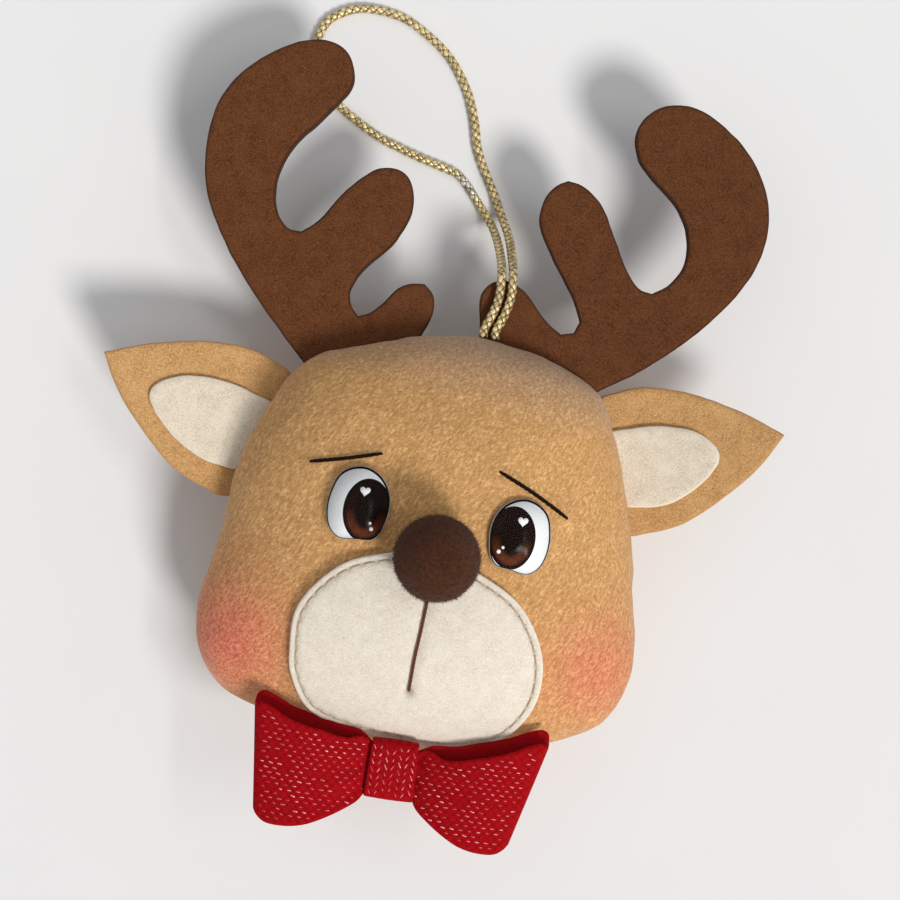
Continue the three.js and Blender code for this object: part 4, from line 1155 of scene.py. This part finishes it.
def iris(middle, border, rings=18):
    """A flat plate inside the eye's outline, and its glow: black pupil and rim, brown between them."""
    shares = np.linspace(1, 0.05, rings)
    rows = [lift(drawn_in(ellipse(IRIS_HALF * share, middle), border, middle), PRINT) for share in shares]
    rows.insert(0, rows[0] - (0, 0, PRINT))
    points, faces = skin(np.stack(rows))
    across = (points[:, :2] - middle) / IRIS_HALF
    rim = ramp(lengths(across), 0.8, 0.12)
    pupil = ramp(lengths((across - (0, 0.1)) / (0.5, 0.64)), 0.95, 0.25)
    return points, faces, pupil * (1 - rim) * np.clip((0.05 - across[:, 1]) / 0.8, 0.04, 1)


def eye(side, finishes):
    """One eye: plate, printed outline, iris, highlights and clear dome."""
    node = f"{side}_eye_print"
    points, _, normals, areas = node_mesh(node)
    forward = (normals * areas[:, None])[normals[:, 2] > 0.6].sum(axis=0)
    forward /= np.linalg.norm(forward)
    rim = rim_of(node, forward)
    across = np.cross((0, 1, 0), forward)
    across /= np.linalg.norm(across)
    up = np.cross(forward, across)
    origin = rim.mean(axis=0)
    to_local = np.stack([across, up, forward])
    loop = smoothed((rim - origin) @ to_local[:2].T, 0.25 * MM, corner=60)
    if area_of(loop) < 0:
        loop = loop[::-1]
    bottom = ((points - origin) @ forward).min()
    top = ((node_mesh(f"{side}_eye_dome")[0] - origin) @ forward).max()

    def on_plate(x, y):
        spot = np.array([x, y, 0]) * MM - origin
        spot[2] = -(spot[0] * forward[0] + spot[1] * forward[1]) / forward[2]
        return (spot @ to_local.T)[:2]

    def piece(name, parts, finish, slot, *replaced):
        own_points, faces = joined(parts)
        made = finishes[finish].on(make(f"{side}_eye_{name}", own_points @ to_local + origin, faces))
        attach(made, "head")
        if replaced:
            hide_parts(*replaced)
        return made

    white = inset(loop, OUTLINE)
    white[:, 1] -= 0.4 * OUTLINE
    piece("back", [slab(loop, bottom, -2 * PRINT)], "plate", "eye_white")
    piece("line", [slab(inset(loop, 0.2 * OUTLINE), -2 * PRINT, -PRINT)], "black", "eye_brown")
    piece("white", [slab(white, -2 * PRINT, 0.0)], "white", "eye_white", f"{side}_eye_print")
    *shape, glow = iris(on_plate(*IRIS_PLACES[side]), inset(loop, 0.6 * OUTLINE))
    made = piece("iris", [shape], "iris", "eye_brown", f"{side}_eye_iris")
    write(made, "glow", glow)
    spots = []
    for x, y, size, kind in EYE_LIGHTS[side]:
        shape = heart(size * MM) if kind == "heart" else ellipse((size * MM / 2,) * 2, count=24)
        spots.append(slab(shape + on_plate(x, y), PRINT, 2 * PRINT))
    piece("lights", spots, "light", "eye_white")

    shares = np.linspace(0.04, 1, 24)
    wall = DOME_WALL + DOME_BASE
    rows = [lift(loop * share, wall + (top - wall) * (1 - share ** 2)) for share in shares]
    shell, faces = skin(np.stack([*rows, lift(loop, DOME_BASE), lift(loop * 0.5, DOME_BASE)]))
    shell[-2:] = (0, 0, top), (0, 0, DOME_BASE)
    piece("shell", [(shell, faces)], "clear", "clear_dome", f"{side}_eye_dome")


def eyes():
    finishes = {
        "white": eye_finish("eye_white", (0.9, 0.91, 0.92), (0.87, 0.88, 0.9)),
        "plate": eye_finish("eye_plate", (0.5, 0.5, 0.5), (0.44, 0.44, 0.44)),
        "black": eye_finish("eye_black", (0.006, 0.004, 0.004), (0.01, 0.007, 0.006)),
        "iris": iris_print(),
        "light": eye_finish("eye_light", (0.98, 0.98, 0.98), (0.94, 0.94, 0.95)),
        "clear": clear_plastic(),
    }
    for side in ("left", "right"):
        eye(side, finishes)


def brows():
    black = spun_thread("black_thread", (0.012, 0.005, 0.004), (0.004, 0.002, 0.001),
                        (0.035, 0.018, 0.013), sheen=0.01, gloss=0.06)
    for side, flat in BROWS.items():
        share = np.linspace(-1, 1, len(flat))
        dip = ramp(np.abs(share), 0.94, 0.06)
        line = above_face(flat, BROW_LIFT + BROW_ARCH * (1 - share ** 2) - BROW_DIP * dip)
        shape = thread(line, BROW_RADIUS, plies=3, lay=3 * MM, taper=2.2 * MM)
        brow = black.on(make(f"{side}_brow", *shape))
        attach(brow, "head")
        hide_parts(f"{side}_brow_stitch")


# Bow

BOW_HALF_LENGTH = 24.9 * MM
BOW_RISE = 11.1 * MM
BOW_DROP = 11.6 * MM
BOW_PINCH = 3.7 * MM
FRONT_PUFF = 2.6 * MM
BACK_PUFF = 1.0 * MM
BOW_THICKNESS = 0.9 * MM
LEFT_LEAN, RIGHT_LEAN = 0.05, 0.1
BOW_TURN = math.radians(0.8)
BOW_PLACE = np.array([0.045, -0.978]) * HEAD_HALF
BAND_WIDTH = 8.7 * MM
BAND_THICKNESS = 0.9 * MM
BAND_LIFT = 0.4 * MM
BAND_HALF_DEPTH = 2.25 * MM
BAND_HALF_HEIGHT = BOW_PINCH + 1.6 * MM
BAND_BULGE = 0.12 * MM
BAND_SQUARENESS, BAND_FLATNESS = 0.45, 0.6
BAND_CLOTH_PLACE = 200 * MM
LAYER_MIDDLE = 0.6 * MM
FOLD_INSET, FOLD_UPPER, FOLD_LOWER = 0.35 * MM, 0.4 * MM, -0.3 * MM
STRIP_EDGE_THINNING = 0.45
PLEAT_HEIGHT, PLEAT_COUNT, PLEAT_FADE = 0.4 * MM, 2.6, 4.2
CLOTH_WAVE, CLOTH_WAVE_SIZE = 0.12 * MM, 5 * MM
WING_START = BAND_WIDTH / 2 + 0.3 * MM
WING_LENGTH = BOW_HALF_LENGTH - WING_START
WING_UPPER = [
    [0, 0.38], [0.06, 0.42], [0.27, 0.45], [0.45, 0.58], [0.65, 0.75], [0.85, 0.95], [0.94, 1], [1, 0.93],
]
WING_LOWER = [
    [0, 0.36], [0.06, 0.5], [0.19, 0.66], [0.36, 0.83], [0.52, 0.95], [0.7, 1.01], [0.88, 1], [1, 0.86],
]
WING_DEPTH = [[0, 0], [0.06, 0.25], [0.2, 0.65], [0.38, 0.92], [0.6, 1], [0.86, 0.68], [0.96, 0.4]]
LEFT_LIP, RIGHT_LIP = 1.6 * MM, 2 * MM
LEFT_SWELL, RIGHT_SWELL = 2.3 * MM, 1.0 * MM
SWELL_SHARES = [[0, 0.5], [0.12, 0.85], [0.3, 0.9], [0.55, 0.4], [0.75, 0.05], [1, 0]]
DASH_PITCH = 1.6 * MM
DASH_ROW = 0.88 * MM
DASH_LENGTH = 0.9 * MM
DASH_WIDTH = 0.22 * MM
DASH_HEIGHT = 0.09 * MM
BAND_DASH_COLUMN, BAND_DASH_ROW, BAND_DASH_SLANT = 1.2 * MM, 1.35 * MM, math.radians(62)


def lean_of(x):
    return np.where(np.asarray(x) < 0, LEFT_LEAN, RIGHT_LEAN)


def table(pairs, places):
    """Heights at places of a smooth curve through pairs of a place and a height."""
    pairs = spline(pairs, per_span=8)
    return np.interp(places, pairs[:, 0], pairs[:, 1])


def wing_share(x):
    return ramp(np.abs(x), WING_START, WING_LENGTH)


def bow_edges(x, front):
    """The strip's upper and lower edge at a place along it; the front layer's upper edge is lower."""
    wing = wing_share(x)
    settle = ramp(np.abs(x), 0.6 * WING_START, 0.4 * WING_START)
    high = BOW_PINCH + (BOW_RISE * table(WING_UPPER, wing) - BOW_PINCH) * settle
    low = BOW_PINCH + (BOW_DROP * table(WING_LOWER, wing) - BOW_PINCH) * settle
    swell = np.where(x < 0, LEFT_SWELL, RIGHT_SWELL) * table(SWELL_SHARES, wing) * settle
    lip = np.where(x < 0, LEFT_LIP, RIGHT_LIP)
    return high + swell - lip * front * np.clip(wing * 6, 0, 1), -low


def pleats(x, across, side):
    """How far soft pleats beside the band lift the felt."""
    wing = wing_share(x)
    fade = np.exp(-wing * PLEAT_FADE) * np.clip(wing * 14, 0, 1)
    slow = CLOTH_WAVE * np.sin(x / CLOTH_WAVE_SIZE + across * 4)
    return side * PLEAT_HEIGHT * fade * np.cos(across * PLEAT_COUNT * TURN) + slow


def bow_line():
    """The strip's middle line round the flattened loop, as places along the bow and heights."""
    tip = BOW_HALF_LENGTH - FOLD_INSET
    front, back = (
        [[WING_START + WING_LENGTH * out, LAYER_MIDDLE + puff * depth] for out, depth in WING_DEPTH]
        for puff in (FRONT_PUFF, BACK_PUFF))
    back = [[x, -z] for x, z in back]
    right = [*front, [tip, FOLD_UPPER], [tip, FOLD_LOWER], *back[::-1]]
    left = [[-x, z] for x, z in right]
    loop = [[0, LAYER_MIDDLE], *right, [0, -LAYER_MIDDLE], *left[::-1]]
    return closed_line(loop, 0.55 * MM)


def to_world(points):
    """Points of the bow's own frame in the part's frame."""
    low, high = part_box("bow_band")
    cos, sin = math.cos(BOW_TURN), math.sin(BOW_TURN)
    x = points[:, 0] * cos - points[:, 1] * sin + BOW_PLACE[0]
    y = points[:, 0] * sin + points[:, 1] * cos + BOW_PLACE[1]
    return np.column_stack([x, y, points[:, 2] + (low[2] + high[2]) / 2])


def spindle(centre, along, across, up, length, width):
    """A closed grain of bright thread, pointed at both ends."""
    turn = np.arange(6)[:, None] / 6 * TURN
    ring = centre + across * width / 2 * np.cos(turn) + up * DASH_HEIGHT * np.sin(turn)
    points, faces = skin(np.stack([ring + along * length * place for place in (-0.36, 0.36)]))
    points[-2:] = centre - along * length / 2, centre + along * length / 2
    return points, faces


def strip_surface(x, y, front):
    """The outer face's height at a place on the flattened loop, or None outside it."""
    line_x = x
    for _ in range(4):
        high, low = bow_edges(np.array([line_x]), front)
        across = float((y - low[0]) / (high[0] - low[0]))
        line_x = x / (1 + float(lean_of(x)) * (2 * across - 1))
    if not 0.05 < across < 0.95 or abs(line_x) > BOW_HALF_LENGTH - 1.4 * MM or abs(line_x) < WING_START:
        return None
    place = np.array([line_x])
    depth = float(table(WING_DEPTH + [[1, 0.1]], wing_share(place))[0])
    height = LAYER_MIDDLE + BOW_THICKNESS / 2 + (FRONT_PUFF if front else BACK_PUFF) * depth
    side = 1 if front else -1
    return side * height + float(pleats(place, np.array([across]), side)[0])


def bow_cloth():
    """Red fabric: faint raised lozenges, and a plain inner face."""
    cloth = Finish("bow_cloth", 0.85, Specular_IOR_Level=0.06)
    place = cloth.node("ShaderNodeSeparateXYZ", {0: cloth.value_of("cloth", "Vector")}).outputs
    column = cloth.math("MULTIPLY", place[0], math.pi * MM / DASH_PITCH)
    row = cloth.math("MULTIPLY", place[1], math.pi * MM / DASH_ROW / 2)
    waves = [cloth.math("COSINE", cloth.math(way, column, row)) for way in ("ADD", "SUBTRACT")]
    lozenges = cloth.math("ABSOLUTE", cloth.math("MULTIPLY", *waves))
    grain = cloth.noise(0.35 * MM, roughness=0.7)
    plain = cloth.value_of("inner")
    cells = cloth.mixed(plain, cloth.ranged(lozenges, 0.0, 0.45), (0.5, 0.5, 0.5))
    shade = cloth.sum_of((cells, 0.15), (grain, 0.85))
    woven = cloth.layered((0.2, 0.001, 0.003), ((0.5, 0.005, 0.01), shade, 0.3, 0.8))
    smooth = cloth.layered((0.28, 0.003, 0.006), ((0.42, 0.006, 0.01), grain, 0.35, 0.65))
    cloth.paint(woven, (smooth, plain))
    cloth.bump(shade, 0.5, 0.14 * MM)
    return cloth


def bow_strip(cloth):
    """The flattened loop of cloth, with an outer and an inner face."""
    line = bow_line()
    x, z = line.T
    ahead = unit(np.roll(line, -1, axis=0) - np.roll(line, 1, axis=0))
    high, low = bow_edges(x, ramp(z, -0.5 * MM, MM))
    shares = np.linspace(0, 1, 41)
    sections, places, inner = [], [], []
    for face, order in ((1, shares), (-1, shares[::-1])):
        for share in order:
            leant = x * (1 + lean_of(x) * (2 * share - 1))
            y = low + (high - low) * share
            reach = BOW_THICKNESS / 2 * face * (1 - STRIP_EDGE_THINNING * (share in (0, 1)))
            height = z + ahead[:, 0] * reach + pleats(x, share, np.sign(z))
            sections.append(np.column_stack([leant - ahead[:, 1] * reach, y, height]))
            places.append(np.column_stack([leant, y, z]) / MM)
            inner.append(np.full(len(line), float(face < 0)))
    points, faces = skin(np.stack(sections, axis=1), closed=True)
    strip = cloth.on(make("bow_loop", to_world(points), faces))
    write(strip, "cloth", np.stack(places, axis=1).reshape(-1, 3))
    write(strip, "inner", np.stack(inner, axis=1).ravel())
    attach(strip, "head")
    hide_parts("bow_strip")
    around = float(lengths(np.diff(np.vstack([line, line[:1]]), axis=0)).sum())


def bow_band(cloth):
    """The hollow band round the bow's middle."""
    turn = np.linspace(0, TURN, 64, endpoint=False)
    up, out = (np.sign(wave) * np.abs(wave) ** power
               for wave, power in ((np.cos(turn), BAND_SQUARENESS), (np.sin(turn), BAND_FLATNESS)))
    widths = np.linspace(-1, 1, 25)
    rings, places = [], []
    for face, order in ((1, widths), (-1, widths[::-1])):
        for share in order:
            bulge = BAND_BULGE * (1 - share ** 2) - BAND_BULGE * (abs(share) == 1)
            grown = bulge * face - BAND_THICKNESS * (face < 0)
            x = share * BAND_WIDTH / 2 * (1 - 0.03 * up)
            y = up * (BAND_HALF_HEIGHT + grown) + BAND_LIFT
            z = out * (BAND_HALF_DEPTH + grown)
            rings.append(np.column_stack([x, y, z]))
            places.append(np.column_stack([y + BAND_CLOTH_PLACE, x + BAND_CLOTH_PLACE, z]) / MM)
    points, faces = skin(np.stack(rings), closed=True)
    band = cloth.on(make("bow_ring", to_world(points), faces))
    write(band, "cloth", np.vstack(places))
    write(band, "inner", np.zeros(len(points)))
    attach(band, "head")
    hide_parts("bow_band")


def wing_threads(chance, step=0.3 * MM):
    """Where bright threads lie on the wings: the middle, direction, felt's normal and length of each."""
    for front in (1, 0):
        for row in range(-15, 16):
            for column in range(-17, 18):
                x, y = (column + 0.5 * (row % 2)) * DASH_PITCH, row * DASH_ROW
                z, beside = strip_surface(x, y, front), strip_surface(x + step, y, front)
                if z is None or beside is None or chance.random() < 0.1:
                    continue
                along = np.array([step, step * chance.uniform(-0.3, 0.1), beside - z])
                along /= np.linalg.norm(along)
                up = np.array([-along[2], 0, along[0]]) * (1 if front else -1)
                yield np.array([x, y, z]), along, up / np.linalg.norm(up), DASH_LENGTH


def band_threads():
    """The same for the band's front, where they make a herringbone."""
    for column in range(7):
        for row in range(-3, 4):
            x = (column - 3) * BAND_DASH_COLUMN
            y = (row + 0.5 * (column // 2 % 2)) * BAND_DASH_ROW
            slant = BAND_DASH_SLANT * (1 if column % 2 else -1)
            depth = max(1 - (abs(y) / BAND_HALF_HEIGHT) ** (2 / BAND_SQUARENESS), 0)
            z = BAND_HALF_DEPTH * depth ** (BAND_FLATNESS / 2)
            z += BAND_BULGE * (1 - (2 * x / BAND_WIDTH) ** 2)
            if abs(y) < 0.88 * BAND_HALF_HEIGHT:
                along = np.array([math.cos(slant), math.sin(slant), 0])
                yield np.array([x, y + BAND_LIFT, z]), along, np.array([0, 0, 1.0]), DASH_LENGTH * 1.2


def bright_threads():
    """Metallic floats that stand on the cloth, each with its own brightness and flecks of painted glint.
    """
    lurex = Finish("bright_thread", 0.35, Metallic=0.5)
    glint = lurex.noise(0.4 * MM, detail=2.0)
    # Red to pink is the thread's own colour; the near-white pink on the glint noise is painted glint.
    pale = lurex.layered((0.76, 0.28, 0.29), ((0.95, 0.72, 0.7), glint, 0.4, 0.6))
    lurex.paint((0.5, 0.04, 0.05), (pale, lurex.value_of("glow")))
    chance = random.Random(SEED)
    grains, glow = [], []
    for places in (wing_threads(chance), band_threads()):
        for centre, along, up, length in places:
            length *= chance.uniform(0.6, 1.15)
            width = DASH_WIDTH * chance.uniform(0.7, 1.1)
            grains.append(spindle(centre, along, np.cross(up, along), up, length, width))
            most = np.clip(0.65 + 0.8 * wobble([centre], 7 * MM, 6)[0], 0.15, 1)
            glow.extend([most * chance.random() ** 1.2] * len(grains[-1][0]))
    points, faces = joined(grains)
    bright = lurex.on(make("bow_bright_threads", to_world(points), faces))
    write(bright, "glow", glow)
    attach(bright, "head")


def bow():
    cloth = bow_cloth()
    bow_strip(cloth)
    bow_band(cloth)
    bright_threads()


# Floor and light

WORLD_LIGHT, WORLD_SEEN = 0.42, 0.9
WORLD_COLOUR = (0.97, 0.985, 1.0)
FLOOR_HALF = 1.2
KEY_AIM, SIDE_PLACE = (0.62, -0.6, 1.0), (0.5, 0.1, 0.95)


def floor():
    finish = Finish("floor", 0.9, Specular_IOR_Level=0.1)
    finish.paint((0.8, 0.8, 0.81), ((0.83, 0.83, 0.835), finish.noise(40 * MM, detail=2.0)))
    mesh = bpy.data.meshes.new("floor")
    corners = ((-1, -1), (1, -1), (1, 1), (-1, 1))
    mesh.from_pydata([(x * FLOOR_HALF, y * FLOOR_HALF, 0) for x, y in corners], [], [(0, 1, 2, 3)])
    ground = finish.on(shown("floor", mesh))


def background():
    """A plain world that looks brighter to the camera, gloss and clear things than it lights."""
    world = bpy.data.worlds.new("world")
    bpy.context.scene.world = world
    sky = Nodes(world)
    rays = sky.node("ShaderNodeLightPath").outputs
    seen = sky.math("MAXIMUM", rays["Is Camera Ray"], rays["Is Glossy Ray"], rays["Is Transmission Ray"])
    strength = sky.math("ADD", sky.math("MULTIPLY", seen, WORLD_SEEN - WORLD_LIGHT), WORLD_LIGHT)
    inputs = world.node_tree.nodes["Background"].inputs
    sky.feed(inputs["Color"], WORLD_COLOUR)
    sky.feed(inputs["Strength"], strength)


def lamp(name, kind, energy, aim, place=(0, 0, 0), **settings):
    """A lamp that shines from the side that its aim points to."""
    data = bpy.data.lights.new(name, kind)
    data.energy = energy
    for key, value in settings.items():
        setattr(data, key, value)
    item = shown(name, data)
    item.location = place
    item.rotation_euler = Vector(aim).to_track_quat("Z", "Y").to_euler()


def stage():
    floor()
    background()
    lamp("key", "SUN", 2.2, KEY_AIM, angle=math.radians(15), color=(1.0, 0.975, 0.94))
    lamp("side", "AREA", 1.2, SIDE_PLACE, SIDE_PLACE, shape="RECTANGLE", size=0.45, size_y=0.07)
    bpy.context.scene.view_settings.view_transform = "Standard"


def face_covers():
    """The outlines of what lies on the face, with how far round each the felt is held down."""
    loops = [(MUZZLE_EDGE, 2.5 * MM)]
    for side in ("left", "right"):
        dome = smoothed(rim_of(f"{side}_eye_dome", least=0.2)[:, :2], 0.4 * MM, corner=60)
        offset = (0, BROW_RADIUS)
        brow = np.vstack([BROWS[side] - offset, BROWS[side][::-1] + offset])
        loops += [(dome, 2 * MM), (brow, 2 * MM)]
    return loops


camera()
braid_gold = gold_braid()
hanging_cord(braid_gold)
cord_ends(braid_gold)
head(plush_felt(), face_covers())
antlers()
ears()
muzzle()
muzzle_stitches()
mouth()
nose()
eyes()
brows()
bow()
stage()
